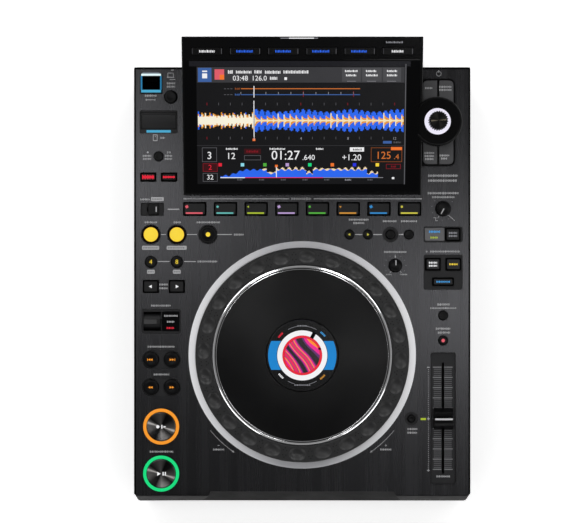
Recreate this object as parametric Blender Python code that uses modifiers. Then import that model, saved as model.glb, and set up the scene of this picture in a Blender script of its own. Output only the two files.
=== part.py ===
"""Tabletop DJ media player, built as separate pieces on a common frame.

X runs across the player, Y towards its rear and Z up. The origin lies on the
surface it stands on, in the middle of its width and depth. Lengths are metres.
"""
import math

import bmesh
import bpy
from mathutils import Matrix, Vector

MM = 0.001

# Overall layout, from which the width and depth follow
JOG_RING_RADIUS = 111.0 * MM
SIDE_COLUMN = 53.5 * MM
FRONT_BAND = 36.1 * MM
KEY_BAND = 44.9 * MM
DISPLAY_DEPTH = 150.0 * MM
DISPLAY_OVERHANG = 24.7 * MM
PLATE_HEIGHT = 80.0 * MM
DISPLAY_TOP_HEIGHT = 118.0 * MM

WIDTH = 2 * (JOG_RING_RADIUS + SIDE_COLUMN)
FIELD_DEPTH = FRONT_BAND + 2 * JOG_RING_RADIUS + KEY_BAND
DEPTH = FIELD_DEPTH + DISPLAY_DEPTH
FRONT_Y = -DEPTH / 2
REAR_Y = DEPTH / 2 - DISPLAY_OVERHANG
JOG_Y = FRONT_Y + FRONT_BAND + JOG_RING_RADIUS
DISPLAY_FRONT_Y = DEPTH / 2 - DISPLAY_DEPTH

# Clearances, and how far a cutter overruns the face that it cuts
SEAT_GAP = 0.3 * MM
RUN_GAP = 0.35 * MM
OVERRUN = 4.0 * MM
MERGE = 0.01 * MM
SHARP_EDGE = math.radians(30)
SQUARE_EDGE = math.radians(60)

# Upper case and bottom chassis
FOOT_HEIGHT = 6.0 * MM
SPLIT_HEIGHT = 44.0 * MM
PLATE_THICKNESS = 3.0 * MM
WALL = 2.5 * MM
FLOOR = 2.0 * MM
CORNER_RADIUS = 3.5 * MM
CORNER_SEGMENTS = 3
LIP_RUN = 9.3 * MM
LIP_RECESS = 4.0 * MM
LIP_FOOT_HEIGHT = 50.0 * MM
LIP_RECESS_WIDTH = 179.0 * MM
LIP_RECESS_SLANT = 10.0 * MM
PLATE_UNDERSIDE = PLATE_HEIGHT - PLATE_THICKNESS

# Feet
FOOT_RADIUS = 14.0 * MM
FOOT_INSET_X = 34.0 * MM
FOOT_INSET_Y = 36.0 * MM
PEG_RADIUS = 3.0 * MM
PEG_RISE = 1.5 * MM

# Keys and buttons: a cap that stands proud, and a flange held under the plate
KEY_TRAVEL = 1.0 * MM
KEY_PROUD = KEY_TRAVEL + 0.4 * MM
BIG_TRAVEL = 1.5 * MM
BIG_PROUD = BIG_TRAVEL + 1.0 * MM
FLANGE = 1.0 * MM
FLANGE_THICKNESS = 1.5 * MM
KEY_CORNER = 0.9 * MM
KEY_EDGE = 0.35 * MM
ROUND_STEPS = 16

# Columns of controls
COLUMN_X = JOG_RING_RADIUS + SIDE_COLUMN / 2
PAIR_PITCH = 20.3 * MM
LOOP_PITCH = 25.4 * MM
LOOP_SHIFT = 2.5 * MM
MEDIA_SHIFT = 2.6 * MM
RELOOP_STEP = 30.5 * MM
HOT_COUNT = 8
HOT_PITCH = 30.0 * MM
HOT_INSET = 13.3 * MM
CALL_X = 46.2 * MM
CALL_PITCH = 17.9 * MM
DELETE_X = 86.3 * MM
MEMORY_X = 104.3 * MM
RESET_STEP = 31.0 * MM
JOG_ADJUST_REACH = 15.1 * MM
JOG_ADJUST_ANGLE = math.radians(43.8)

# Rows of controls: shares of the field before the display, and of the band beside it
FIELD_SHARES = {
    "play": 0.1029, "cue": 0.2544, "reset": 0.2792, "fader": 0.2802, "search": 0.3808,
    "track": 0.4700, "master_tempo": 0.5316, "direction": 0.5931, "tempo_range": 0.6122,
    "beat_jump": 0.7059, "key_sync": 0.7212, "sync_panel": 0.7519, "sync": 0.7776,
    "beat_loop": 0.7848, "loop": 0.8736, "slide": 0.9548, "speed": 0.9568,
}
REAR_SHARES = {
    "red": 0.1420, "time": 0.3041, "selector": 0.5635, "card": 0.5826,
    "media_stop": 0.7669, "media": 0.8739,
}

# Radii of the round buttons
PLAY_RADIUS = 17.6 * MM
PLAY_DISC_RADIUS = 14.2 * MM
PLAY_DISC_RISE = 0.8 * MM
SEARCH_RADIUS = 7.8 * MM
LOOP_RADIUS = 8.9 * MM
RELOOP_RADIUS = 8.6 * MM
BEAT_LOOP_RADIUS = 5.9 * MM
MEDIA_STOP_RADIUS = 6.5 * MM
SMALL_RADIUS = 4.8 * MM
RESET_RADIUS = 3.8 * MM

# Widths and depths of the rectangular keys
RED_KEY = (15.4 * MM, 8.6 * MM)
HOT_KEY = (22.4 * MM, 13.1 * MM)
BEAT_JUMP_KEY = (15.4 * MM, 12.4 * MM)
JOG_MODE_KEY = (14.7 * MM, 12.8 * MM)
SYNC_KEY = (14.9 * MM, 12.0 * MM)
KEY_SYNC_KEY = (20.8 * MM, 7.8 * MM)
SYNC_PITCH = 20.0 * MM
JOG_MODE_STEP = 9.5 * MM

# Shallow recesses round groups of keys
RECESS_DEPTH = 0.8 * MM
STADIUM = (38.4 * MM, 18.2 * MM)
STADIUM_CORNER_SHARE = 0.499
DIRECTION_PANEL = (38.4 * MM, 24.1 * MM)
JOG_MODE_PANEL = (38.1 * MM, 15.6 * MM)
SYNC_PANEL = (38.1 * MM, 34.4 * MM)
CARD_PANEL = (37.2 * MM, 22.6 * MM)
CARD_PANEL_STEP = 1.2 * MM
PANEL_CORNER = 1.8 * MM
COLLAR = 3.0 * MM

# Direction lever
LEVER_WIDTH = 16.4 * MM
LEVER_WELL_DEPTH = 18.9 * MM
LEVER_STEP = 9.0 * MM
LEVER_DRUM_RADIUS = 8.6 * MM
LEVER_AXIS_DROP = 9.6 * MM
LEVER_FIN = 4.8 * MM
LEVER_RISE = 5.0 * MM

# Slide switch
SWITCH_WELL = (22.8 * MM, 12.9 * MM)
SWITCH_WELL_DEPTH = 1.8 * MM
SWITCH_STEP = 8.8 * MM
SWITCH_KNOB = (10.0 * MM, 10.4 * MM)
SWITCH_TRAVEL = 4.0 * MM
SWITCH_RISE = 1.6 * MM
SWITCH_STEM = 4.0 * MM
SWITCH_KNOB_SHIFT = 1.0 * MM

# Small knobs
JOG_KNOB_RADIUS = 6.8 * MM
SPEED_KNOB_RADIUS = 7.7 * MM
KNOB_RISE = 10.0 * MM
KNOB_TAPER = 0.9 * MM
KNOB_SHAFT = 3.0 * MM
KNOB_COLLAR = 5.0 * MM

# Jog wheel
JOG_HOLE_RADIUS = 107.2 * MM
RING_WIDTH = 6.6 * MM
RING_RISE = 2.4 * MM
RING_SKIRT = 4.0 * MM
DIAL_RISE = 10.0 * MM
DIAL_FOOT = 3.5 * MM
DIAL_EDGE = 2.5 * MM
DIAL_BAND = 16.0 * MM
DIAL_WEB = 2.5 * MM
DIAL_WEB_DROP = 1.5 * MM
DIAL_WEB_HEIGHT = PLATE_HEIGHT - DIAL_WEB_DROP
SLEEVE_DROP = 12.0 * MM
SLEEVE_WALL = 5.0 * MM
DIMPLE_COUNT = 24
DIMPLE_RADIUS = 7.2 * MM
DIMPLE_DEPTH = 1.3 * MM
DIMPLE_STEPS = 10
DIMPLE_SHARES = ((0.0, -1.0), (0.58, -0.72), (1.0, 0.0))
DIMPLE_START = math.radians(2.8)
PLATTER_RISE = 9.4 * MM
PLATTER_BEVEL = 2.6 * MM
PLATTER_SINK = 2.4 * MM
CENTRE_RADIUS = 34.9 * MM
CENTRE_RISE = 10.2 * MM
CENTRE_EDGE = 0.8 * MM
POST_RADIUS = 18.0 * MM
POST_FOOT_RADIUS = 40.0 * MM
POST_FOOT_THICKNESS = 6.0 * MM
JOG_STEPS = 60

# Tempo fader
FADER_INLAY = (23.9 * MM, 128.4 * MM)
FADER_INLAY_THICKNESS = 2.0 * MM
FADER_SINK = 1.5 * MM
FADER_TRAVEL = 50.0 * MM
FADER_STEM = (1.6 * MM, 8.0 * MM)
FADER_STEM_DROP = 8.0 * MM
FADER_BODY = (12.0 * MM, 118.0 * MM)
FADER_BODY_DROP = 12.0 * MM
FADER_CAP = (18.6 * MM, 20.5 * MM)
FADER_CAP_RISE = 10.0 * MM
FADER_CAP_SHARES = (
    (-0.50, 0.00), (0.50, 0.00), (0.50, 0.34), (0.34, 1.00), (0.20, 1.00),
    (0.09, 0.78), (-0.09, 0.78), (-0.20, 1.00), (-0.34, 1.00), (-0.50, 0.34),
)

# Display housing and glass
DISPLAY_SIDE_MARGIN = 49.0 * MM
DISPLAY_FRONT_RISE = 8.8 * MM
DISPLAY_REAR_THICKNESS = 21.0 * MM
DISPLAY_FACE = 4.5 * MM
DISPLAY_EDGE = 0.8 * MM
GLASS_THICKNESS = 1.7 * MM
GLASS_SIDE_MARGIN = 3.0 * MM
GLASS_FRONT_MARGIN = 3.0 * MM
GLASS_REAR_MARGIN = 22.3 * MM
DISPLAY_KEY = (29.2 * MM, 6.6 * MM)
DISPLAY_KEY_COUNT = 6
DISPLAY_KEY_PITCH = 36.5 * MM
DISPLAY_KEY_INSET = 14.0 * MM
DISPLAY_STRIP = (216.0 * MM, 11.0 * MM)
DISPLAY_STRIP_THICKNESS = 1.5 * MM
DISPLAY_KEY_PROUD = 0.9 * MM

# Selector, its surround and keys
SELECTOR_INSET = 33.9 * MM
SELECTOR_DISC_RADIUS = 23.9 * MM
SELECTOR_DISC_THICKNESS = 9.0 * MM
SELECTOR_DISC_RISE = 20.0 * MM
SELECTOR_COLUMN_RADIUS = 15.0 * MM
SELECTOR_KNOB_RADIUS = 9.2 * MM
SELECTOR_KNOB_RISE = 12.0 * MM
SELECTOR_SHAFT = 3.0 * MM
SELECTOR_SHAFT_DROP = 6.0 * MM
SURROUND_LENGTH = 85.0 * MM
SURROUND_RISE = 8.0 * MM
SURROUND_RIM = 1.5 * MM
SURROUND_CORNER = 6.0 * MM
SURROUND_FLOOR = 2.5 * MM
SURROUND_SHORT = 5.6 * MM
SELECTOR_KEY_WEB = 1.5 * MM
SELECTOR_KEY_SPLIT = 2.0 * MM
SELECTOR_KEY_REACH = 17.0 * MM
SELECTOR_KEY_PROUD = 0.6 * MM

# Media port and card door
MEDIA_FRAME = (21.2 * MM, 19.8 * MM)
MEDIA_SLOT = (17.4 * MM, 12.9 * MM)
MEDIA_SLOT_DEPTH = 14.0 * MM
MEDIA_TONGUE = (12.0 * MM, 2.0 * MM)
MEDIA_TONGUE_DROP = 5.0 * MM
MEDIA_PORT_FLOOR = 6.0 * MM
MEDIA_BOARD_THICKNESS = 2.0 * MM
MEDIA_STEP = 9.8 * MM
MEDIA_STOP_STEP = 9.3 * MM
CARD_DOOR = (34.0 * MM, 15.6 * MM)
CARD_DOOR_THICKNESS = 1.6 * MM
CARD_PIN_RADIUS = 1.2 * MM
CARD_BLOCK_DROP = 3.0 * MM
CARD_SLOT = (24.6 * MM, 2.6 * MM)
CARD_SLOT_DEPTH = 12.0 * MM

# Main board, power section and rear sockets
BOARD_HEIGHT = 14.0 * MM
BOARD_THICKNESS = 1.6 * MM
BOARD_INSET = 12.0 * MM
BOARD_DEPTH = 120.0 * MM
POST_STEP = 3.0 * MM
POWER_BLOCK = (70.0 * MM, 70.0 * MM, 22.0 * MM)
SOCKET_LENGTH = 22.0 * MM
SOCKET_BASE = 17.0 * MM
# Each socket: place across the case as a share of half the width, width, height,
# and the width, height and depth of its mouth
MAINS_SHARE = 0.66
NETWORK_SHARE = 0.20
DATA_SHARE = 0.02
MAINS_SOCKET = (32.0 * MM, 24.0 * MM)
MAINS_MOUTH = (25.0 * MM, 17.0 * MM, 14.0 * MM)
NETWORK_SOCKET = (19.0 * MM, 17.0 * MM)
NETWORK_MOUTH = (12.5 * MM, 10.0 * MM, 11.0 * MM)
DATA_SOCKET = (15.0 * MM, 15.0 * MM)
DATA_MOUTH = (9.0 * MM, 8.5 * MM, 9.0 * MM)
SOUND_SHARES = (-0.62, -0.48, -0.34)
SOUND_RADIUS = 4.1 * MM
SOUND_BORE = 1.6 * MM
SOUND_BORE_DEPTH = 9.0 * MM
SOUND_REACH = 8.0 * MM
SOUND_RISE = 27.0 * MM
POWER_BUTTON_SHARE = 0.84
POWER_BUTTON = (11.0 * MM, 11.0 * MM)

PAINTED = (0.035, 0.035, 0.037, 1.0)
BLACK = (0.010, 0.010, 0.011, 1.0)
DARK = (0.020, 0.020, 0.021, 1.0)
SILVER = (0.72, 0.72, 0.73, 1.0)
AMBER = (1.0, 0.62, 0.05, 1.0)
GREEN_BOARD = (0.02, 0.13, 0.06, 1.0)
GLOSS = 0.12
SATIN = 0.38
RUBBERY = 0.7


def clear_scene():
    for thing in list(bpy.data.objects):
        bpy.data.objects.remove(thing, do_unlink=True)


def make_collection(name):
    collection = bpy.data.collections.new(name)
    bpy.context.scene.collection.children.link(collection)
    return collection


clear_scene()
PARTS = make_collection("dj_media_player")
CUTTERS = make_collection("cutters")


def row_y(name):
    if name in FIELD_SHARES:
        return FRONT_Y + FIELD_SHARES[name] * FIELD_DEPTH
    return DISPLAY_FRONT_Y + REAR_SHARES[name] * (REAR_Y - DISPLAY_FRONT_Y)


def across(share):
    return share * WIDTH / 2


# Turning raw shapes into objects
def new_object(name, mesh, collection=CUTTERS):
    thing = bpy.data.objects.new(name, mesh)
    collection.objects.link(thing)
    if collection is CUTTERS:
        thing.hide_render = True
        thing.display_type = "WIRE"
    return thing


def mesh_from(name, edit):
    bmesh.ops.remove_doubles(edit, verts=edit.verts, dist=MERGE)
    bmesh.ops.recalc_face_normals(edit, faces=edit.faces)
    mesh = bpy.data.meshes.new(name)
    edit.to_mesh(mesh)
    edit.free()
    return mesh


def finish(thing, colour, roughness, metallic=0.0):
    """Make a shape a part: its collection, material and smooth shading."""
    if thing.name not in PARTS.objects:
        CUTTERS.objects.unlink(thing)
        PARTS.objects.link(thing)
    thing.hide_render = False
    thing.display_type = "TEXTURED"
    surface = bpy.data.materials.new(thing.name)
    surface.use_nodes = True
    shader = surface.node_tree.nodes["Principled BSDF"]
    shader.inputs["Base Color"].default_value = colour
    shader.inputs["Roughness"].default_value = roughness
    shader.inputs["Metallic"].default_value = metallic
    thing.data.materials.clear()
    thing.data.materials.append(surface)
    thing.data.shade_smooth()
    thing.data.set_sharp_from_angle(angle=SHARP_EDGE)
    return thing


def box(name, low, high):
    """A box between two corners, its mesh in place and its object at the origin."""
    low, high = Vector(low), Vector(high)
    edit = bmesh.new()
    size = Matrix.Diagonal((*(high - low), 1.0))
    bmesh.ops.create_cube(edit, size=1.0, matrix=Matrix.Translation((low + high) / 2) @ size)
    return new_object(name, mesh_from(name, edit))


def centred_box(name, x, y, size, low, high):
    width, depth = size
    return box(name, (x - width / 2, y - depth / 2, low), (x + width / 2, y + depth / 2, high))


def cylinder(name, x, y, radius, low, high, steps=ROUND_STEPS):
    edit = bmesh.new()
    place = Matrix.Translation((x, y, (low + high) / 2))
    bmesh.ops.create_cone(edit, cap_ends=True, segments=steps, radius1=radius, radius2=radius,
                          depth=high - low, matrix=place)
    return new_object(name, mesh_from(name, edit))


def outline_prism(name, points, length):
    """A closed flat outline, extruded to a length both ways from its plane."""
    curve = bpy.data.curves.new(name, "CURVE")
    curve.dimensions = "2D"
    curve.fill_mode = "BOTH"
    curve.extrude = length / 2
    spline = curve.splines.new("POLY")
    spline.points.add(len(points) - 1)
    for knot, point in zip(spline.points, points):
        knot.co = (point[0], point[1], 0.0, 1.0)
    spline.use_cyclic_u = True
    guide = bpy.data.objects.new(name, curve)
    CUTTERS.objects.link(guide)
    seen = guide.evaluated_get(bpy.context.evaluated_depsgraph_get())
    raw = bpy.data.meshes.new_from_object(seen)
    edit = bmesh.new()
    edit.from_mesh(raw)
    bpy.data.objects.remove(guide, do_unlink=True)
    return new_object(name, mesh_from(name, edit))


def side_prism(name, points, width):
    """A prism whose outline is given in Y and Z, and which runs across in X."""
    prism = outline_prism(name, points, width)
    turn = Matrix(((0, 0, 1, 0), (1, 0, 0, 0), (0, 1, 0, 0), (0, 0, 0, 1)))
    prism.data.transform(turn)
    return prism


def rounded_outline(width, depth, radius, steps=3):
    points = []
    for corner, (sx, sy) in enumerate(((1, 1), (-1, 1), (-1, -1), (1, -1))):
        for step in range(steps + 1):
            angle = math.radians(90) * (corner + step / steps)
            points.append((sx * (width / 2 - radius) + radius * math.cos(angle),
                           sy * (depth / 2 - radius) + radius * math.sin(angle)))
    return points


def rounded_prism(name, x, y, size, radius, low, high, steps=3):
    prism = outline_prism(name, rounded_outline(*size, radius, steps), high - low)
    prism.data.transform(Matrix.Translation((x, y, (low + high) / 2)))
    return prism


def turned(name, profile, steps=ROUND_STEPS):
    """Spin a profile of (radius, height) points round the Z axis."""
    mesh = bpy.data.meshes.new(name)
    points = [(radius, 0.0, height) for radius, height in profile]
    ends = [(index, index + 1) for index in range(len(points) - 1)]
    if profile[0][0] > 0.0:
        ends.append((len(points) - 1, 0))
    mesh.from_pydata(points, ends, [])
    guide = bpy.data.objects.new(name, mesh)
    CUTTERS.objects.link(guide)
    screw = guide.modifiers.new("turn", "SCREW")
    screw.steps = steps
    screw.render_steps = steps
    screw.use_merge_vertices = True
    screw.merge_threshold = MERGE
    seen = guide.evaluated_get(bpy.context.evaluated_depsgraph_get())
    raw = bpy.data.meshes.new_from_object(seen)
    edit = bmesh.new()
    edit.from_mesh(raw)
    bpy.data.objects.remove(guide, do_unlink=True)
    return new_object(name, mesh_from(name, edit))


def gather(name, things):
    """Put several separate shapes in one mesh, to cut or join with one modifier."""
    edit = bmesh.new()
    for thing in things:
        copy = thing.data.copy()
        copy.transform(thing.matrix_basis)
        edit.from_mesh(copy)
        bpy.data.objects.remove(thing, do_unlink=True)
    mesh = bpy.data.meshes.new(name)
    edit.to_mesh(mesh)
    edit.free()
    return new_object(name, mesh)


def combine(thing, tool, operation):
    change = thing.modifiers.new(tool.name, "BOOLEAN")
    change.operation = operation
    change.solver = "EXACT"
    change.object = tool
    return thing


def cut(thing, *tools):
    return combine(thing, gather(thing.name + "_cut", tools), "DIFFERENCE")


def fuse(thing, *tools):
    return combine(thing, gather(thing.name + "_add", tools), "UNION")


def set_origin(thing, point):
    """Move an object's origin to a point without moving its shape."""
    thing.data.transform(Matrix.Translation(-Vector(point)))
    thing.location = point
    return thing


# Keys: an outline, a flange under it and a softened cap on top
def cap_mesh(name, edit, cap_height):
    top = max(edit.faces, key=lambda face: face.calc_center_median().z)
    bmesh.ops.inset_region(edit, faces=[top], thickness=FLANGE, use_even_offset=True)
    grown = bmesh.ops.extrude_face_region(edit, geom=[top])
    lifted = [item for item in grown["geom"] if isinstance(item, bmesh.types.BMVert)]
    bmesh.ops.delete(edit, geom=[top], context="FACES_ONLY")
    bmesh.ops.translate(edit, verts=lifted, vec=(0.0, 0.0, cap_height))
    rim = [edge for edge in edit.edges if all(vert in lifted for vert in edge.verts)]
    bmesh.ops.bevel(edit, geom=rim, offset=KEY_EDGE, segments=1, profile=0.5, affect="EDGES")
    return mesh_from(name, edit)


def place_key(name, mesh, x, y, colour):
    key = new_object(name, mesh)
    key.location = (x, y, PLATE_UNDERSIDE - SEAT_GAP - FLANGE_THICKNESS / 2)
    return finish(key, colour, SATIN)


def round_button(name, x, y, radius, proud=KEY_PROUD, colour=BLACK):
    edit = bmesh.new()
    outer = radius + FLANGE
    bmesh.ops.create_cone(edit, cap_ends=True, segments=ROUND_STEPS, radius1=outer, radius2=outer,
                          depth=FLANGE_THICKNESS)
    mesh = cap_mesh(name, edit, SEAT_GAP + PLATE_THICKNESS + proud)
    HOLES.append(cylinder(name + "_hole", x, y, radius + RUN_GAP, PLATE_UNDERSIDE - OVERRUN,
                          PLATE_HEIGHT + OVERRUN))
    return place_key(name, mesh, x, y, colour)


def flat_key(name, x, y, size, proud=KEY_PROUD, colour=BLACK):
    width, depth = size
    edit = bmesh.new()
    shape = Matrix.Diagonal((width + 2 * FLANGE, depth + 2 * FLANGE, FLANGE_THICKNESS, 1.0))
    bmesh.ops.create_cube(edit, size=1.0, matrix=shape)
    corners = [edge for edge in edit.edges if edge.verts[0].co.xy == edge.verts[1].co.xy]
    bmesh.ops.bevel(edit, geom=corners, offset=KEY_CORNER + FLANGE, segments=2, profile=0.5,
                    affect="EDGES")
    mesh = cap_mesh(name, edit, SEAT_GAP + PLATE_THICKNESS + proud)
    hole = (width + 2 * RUN_GAP, depth + 2 * RUN_GAP)
    HOLES.append(rounded_prism(name + "_hole", x, y, hole, KEY_CORNER, PLATE_UNDERSIDE - OVERRUN,
                               PLATE_HEIGHT + OVERRUN, steps=2))
    return place_key(name, mesh, x, y, colour)


def panel_recess(name, x, y, size, radius=PANEL_CORNER, steps=3):
    RECESSES.append(rounded_prism(name, x, y, size, radius, PLATE_HEIGHT - RECESS_DEPTH,
                                  PLATE_HEIGHT + OVERRUN, steps))


def collar_recess(name, x, y, radius):
    RECESSES.append(cylinder(name, x, y, radius + COLLAR, PLATE_HEIGHT - RECESS_DEPTH,
                             PLATE_HEIGHT + OVERRUN))


HOLES = []
RECESSES = []


def make_left_controls():
    for name in ("play", "cue"):
        make_big_button(name + "_button", -COLUMN_X, row_y(name))
    end_radius = STADIUM[1] * STADIUM_CORNER_SHARE
    for name in ("track", "search"):
        panel_recess(name + "_recess", -COLUMN_X, row_y(name), STADIUM, end_radius, 8)
        for side, end in ((-1, "back"), (1, "forward")):
            round_button(f"{name}_{end}_button", -COLUMN_X + side * PAIR_PITCH / 2, row_y(name),
                         SEARCH_RADIUS)
    loop_x = -COLUMN_X + LOOP_SHIFT
    for side, end in ((-1, "back"), (1, "forward")):
        flat_key(f"beat_jump_{end}_key", loop_x + side * LOOP_PITCH / 2, row_y("beat_jump"),
                 BEAT_JUMP_KEY)
    for side, end in ((-1, "short"), (1, "long")):
        round_button(f"beat_loop_{end}_button", loop_x + side * LOOP_PITCH / 2,
                     row_y("beat_loop"), BEAT_LOOP_RADIUS)
    for side, end in ((-1, "in"), (1, "out")):
        round_button(f"loop_{end}_button", loop_x + side * LOOP_PITCH / 2, row_y("loop"),
                     LOOP_RADIUS, colour=AMBER)
    round_button("reloop_button", loop_x + LOOP_PITCH / 2 + RELOOP_STEP, row_y("loop"),
                 RELOOP_RADIUS)
    media_x = -COLUMN_X - MEDIA_SHIFT
    for side, end in ((-1, "left"), (1, "right")):
        flat_key(f"red_key_{end}", media_x + side * PAIR_PITCH / 2, row_y("red"), RED_KEY)
    round_button("time_mode_button", media_x, row_y("time"), SMALL_RADIUS)
    round_button("media_stop_button", -COLUMN_X + MEDIA_STOP_STEP, row_y("media_stop"),
                 MEDIA_STOP_RADIUS)


def make_middle_controls():
    hot_y = DISPLAY_FRONT_Y - HOT_INSET
    for index in range(HOT_COUNT):
        flat_key(f"hot_cue_{index + 1}_key", (index - (HOT_COUNT - 1) / 2) * HOT_PITCH, hot_y,
                 HOT_KEY)
    y = row_y("loop")
    round_button("call_back_button", CALL_X, y, SMALL_RADIUS)
    round_button("call_forward_button", CALL_X + CALL_PITCH, y, SMALL_RADIUS)
    collar_recess("delete_collar", DELETE_X, y, SMALL_RADIUS)
    round_button("delete_button", DELETE_X, y, SMALL_RADIUS)
    round_button("memory_button", MEMORY_X, y, SMALL_RADIUS)
    reach = JOG_RING_RADIUS + JOG_ADJUST_REACH
    make_knob("jog_adjust_knob", reach * math.cos(JOG_ADJUST_ANGLE),
              JOG_Y + reach * math.sin(JOG_ADJUST_ANGLE), JOG_KNOB_RADIUS)


def make_right_controls():
    make_knob("speed_adjust_knob", COLUMN_X, row_y("speed"), SPEED_KNOB_RADIUS)
    panel_recess("jog_mode_recess", COLUMN_X, row_y("loop"), JOG_MODE_PANEL)
    flat_key("jog_mode_key", COLUMN_X + JOG_MODE_STEP, row_y("loop"), JOG_MODE_KEY)
    panel_recess("sync_recess", COLUMN_X, row_y("sync_panel"), SYNC_PANEL)
    flat_key("beat_sync_key", COLUMN_X - SYNC_PITCH / 2, row_y("sync"), SYNC_KEY)
    flat_key("master_key", COLUMN_X + SYNC_PITCH / 2, row_y("sync"), SYNC_KEY)
    flat_key("key_sync_key", COLUMN_X, row_y("key_sync"), KEY_SYNC_KEY)
    round_button("tempo_range_button", COLUMN_X, row_y("tempo_range"), SMALL_RADIUS)
    round_button("master_tempo_button", COLUMN_X, row_y("master_tempo"), SMALL_RADIUS)
    collar_recess("reset_collar", COLUMN_X - RESET_STEP, row_y("reset"), RESET_RADIUS)
    round_button("tempo_reset_button", COLUMN_X - RESET_STEP, row_y("reset"), RESET_RADIUS)


def make_big_button(name, x, y):
    """Cue and play: a lit ring round a slightly raised disc, on one sprung cap."""
    base = PLATE_UNDERSIDE - SEAT_GAP - FLANGE_THICKNESS
    rim = PLATE_HEIGHT + BIG_PROUD
    disc = rim + PLAY_DISC_RISE
    profile = (
        (0.0, disc), (PLAY_DISC_RADIUS - KEY_EDGE, disc), (PLAY_DISC_RADIUS, rim),
        (PLAY_RADIUS - KEY_EDGE, rim), (PLAY_RADIUS, rim - KEY_EDGE),
        (PLAY_RADIUS, base + FLANGE_THICKNESS), (PLAY_RADIUS + FLANGE, base + FLANGE_THICKNESS),
        (PLAY_RADIUS + FLANGE, base), (0.0, base),
    )
    button = turned(name, profile, 2 * ROUND_STEPS)
    button.location = (x, y, 0.0)
    HOLES.append(cylinder(name + "_hole", x, y, PLAY_RADIUS + RUN_GAP, PLATE_UNDERSIDE - OVERRUN,
                          PLATE_HEIGHT + OVERRUN, 2 * ROUND_STEPS))
    return finish(button, SILVER, SATIN, 1.0)


def make_knob(name, x, y, radius):
    """A small turning knob, its shaft through the plate and a collar under it."""
    base = PLATE_HEIGHT + SEAT_GAP
    top = PLATE_HEIGHT + KNOB_RISE
    seat = PLATE_UNDERSIDE - SEAT_GAP
    profile = (
        (0.0, top), (radius - KNOB_TAPER - KEY_EDGE, top), (radius - KNOB_TAPER, top - KEY_EDGE),
        (radius, base), (KNOB_SHAFT, base), (KNOB_SHAFT, seat), (KNOB_COLLAR, seat),
        (KNOB_COLLAR, seat - FLANGE_THICKNESS), (0.0, seat - FLANGE_THICKNESS),
    )
    knob = turned(name, profile)
    knob.location = (x, y, 0.0)
    HOLES.append(cylinder(name + "_hole", x, y, KNOB_SHAFT + RUN_GAP, PLATE_UNDERSIDE - OVERRUN,
                          PLATE_HEIGHT + OVERRUN))
    return finish(knob, BLACK, SATIN)


def make_direction_lever():
    """A drum on a cross axis with a fin that the finger rocks."""
    x, y = -COLUMN_X - LEVER_STEP, row_y("direction")
    axis_z = PLATE_HEIGHT - LEVER_AXIS_DROP
    drum = turned("direction_lever", ((0.0, LEVER_WIDTH / 2), (LEVER_DRUM_RADIUS, LEVER_WIDTH / 2),
                                      (LEVER_DRUM_RADIUS, -LEVER_WIDTH / 2),
                                      (0.0, -LEVER_WIDTH / 2)), 2 * ROUND_STEPS)
    drum.data.transform(Matrix.Rotation(math.radians(90), 4, "Y"))
    fin = centred_box("lever_fin", 0.0, 0.0, (LEVER_WIDTH, LEVER_FIN), 0.0,
                      LEVER_AXIS_DROP + LEVER_RISE)
    drum.location = (x, y, axis_z)
    fin.location = drum.location
    fuse(drum, fin)
    finish(drum, DARK, SATIN)
    panel_recess("direction_recess", -COLUMN_X, y, DIRECTION_PANEL)
    HOLES.append(centred_box("lever_well", x, y, (LEVER_WIDTH + 2 * RUN_GAP, LEVER_WELL_DEPTH),
                             PLATE_UNDERSIDE - OVERRUN, PLATE_HEIGHT + OVERRUN))


def make_slide_switch():
    x, y = -COLUMN_X - SWITCH_STEP, row_y("slide")
    floor = PLATE_HEIGHT - SWITCH_WELL_DEPTH
    knob_x = x + SWITCH_KNOB_SHIFT
    knob = centred_box("slide_switch", knob_x, y, SWITCH_KNOB, floor + SEAT_GAP,
                       PLATE_HEIGHT + SWITCH_RISE)
    stem_base = PLATE_UNDERSIDE - SEAT_GAP - FLANGE_THICKNESS
    stem = centred_box("switch_stem", knob_x, y, (SWITCH_STEM, SWITCH_STEM),
                       stem_base + FLANGE_THICKNESS / 2, floor + 2 * SEAT_GAP)
    foot = centred_box("switch_foot", knob_x, y, (SWITCH_STEM, SWITCH_KNOB[1]), stem_base,
                       stem_base + FLANGE_THICKNESS)
    fuse(knob, stem)
    combine(knob, foot, "UNION")
    finish(knob, BLACK, SATIN)
    set_origin(knob, (knob_x, y, floor))
    RECESSES.append(rounded_prism("switch_well", x, y, SWITCH_WELL, KEY_CORNER, floor,
                                  PLATE_HEIGHT + OVERRUN, 2))
    slot_low = knob_x - SWITCH_TRAVEL - SWITCH_STEM / 2 - RUN_GAP
    slot_high = knob_x + SWITCH_STEM / 2 + RUN_GAP
    half = SWITCH_STEM / 2 + RUN_GAP
    HOLES.append(box("switch_slot", (slot_low, y - half, PLATE_UNDERSIDE - OVERRUN),
                     (slot_high, y + half, PLATE_HEIGHT + OVERRUN)))


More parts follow.
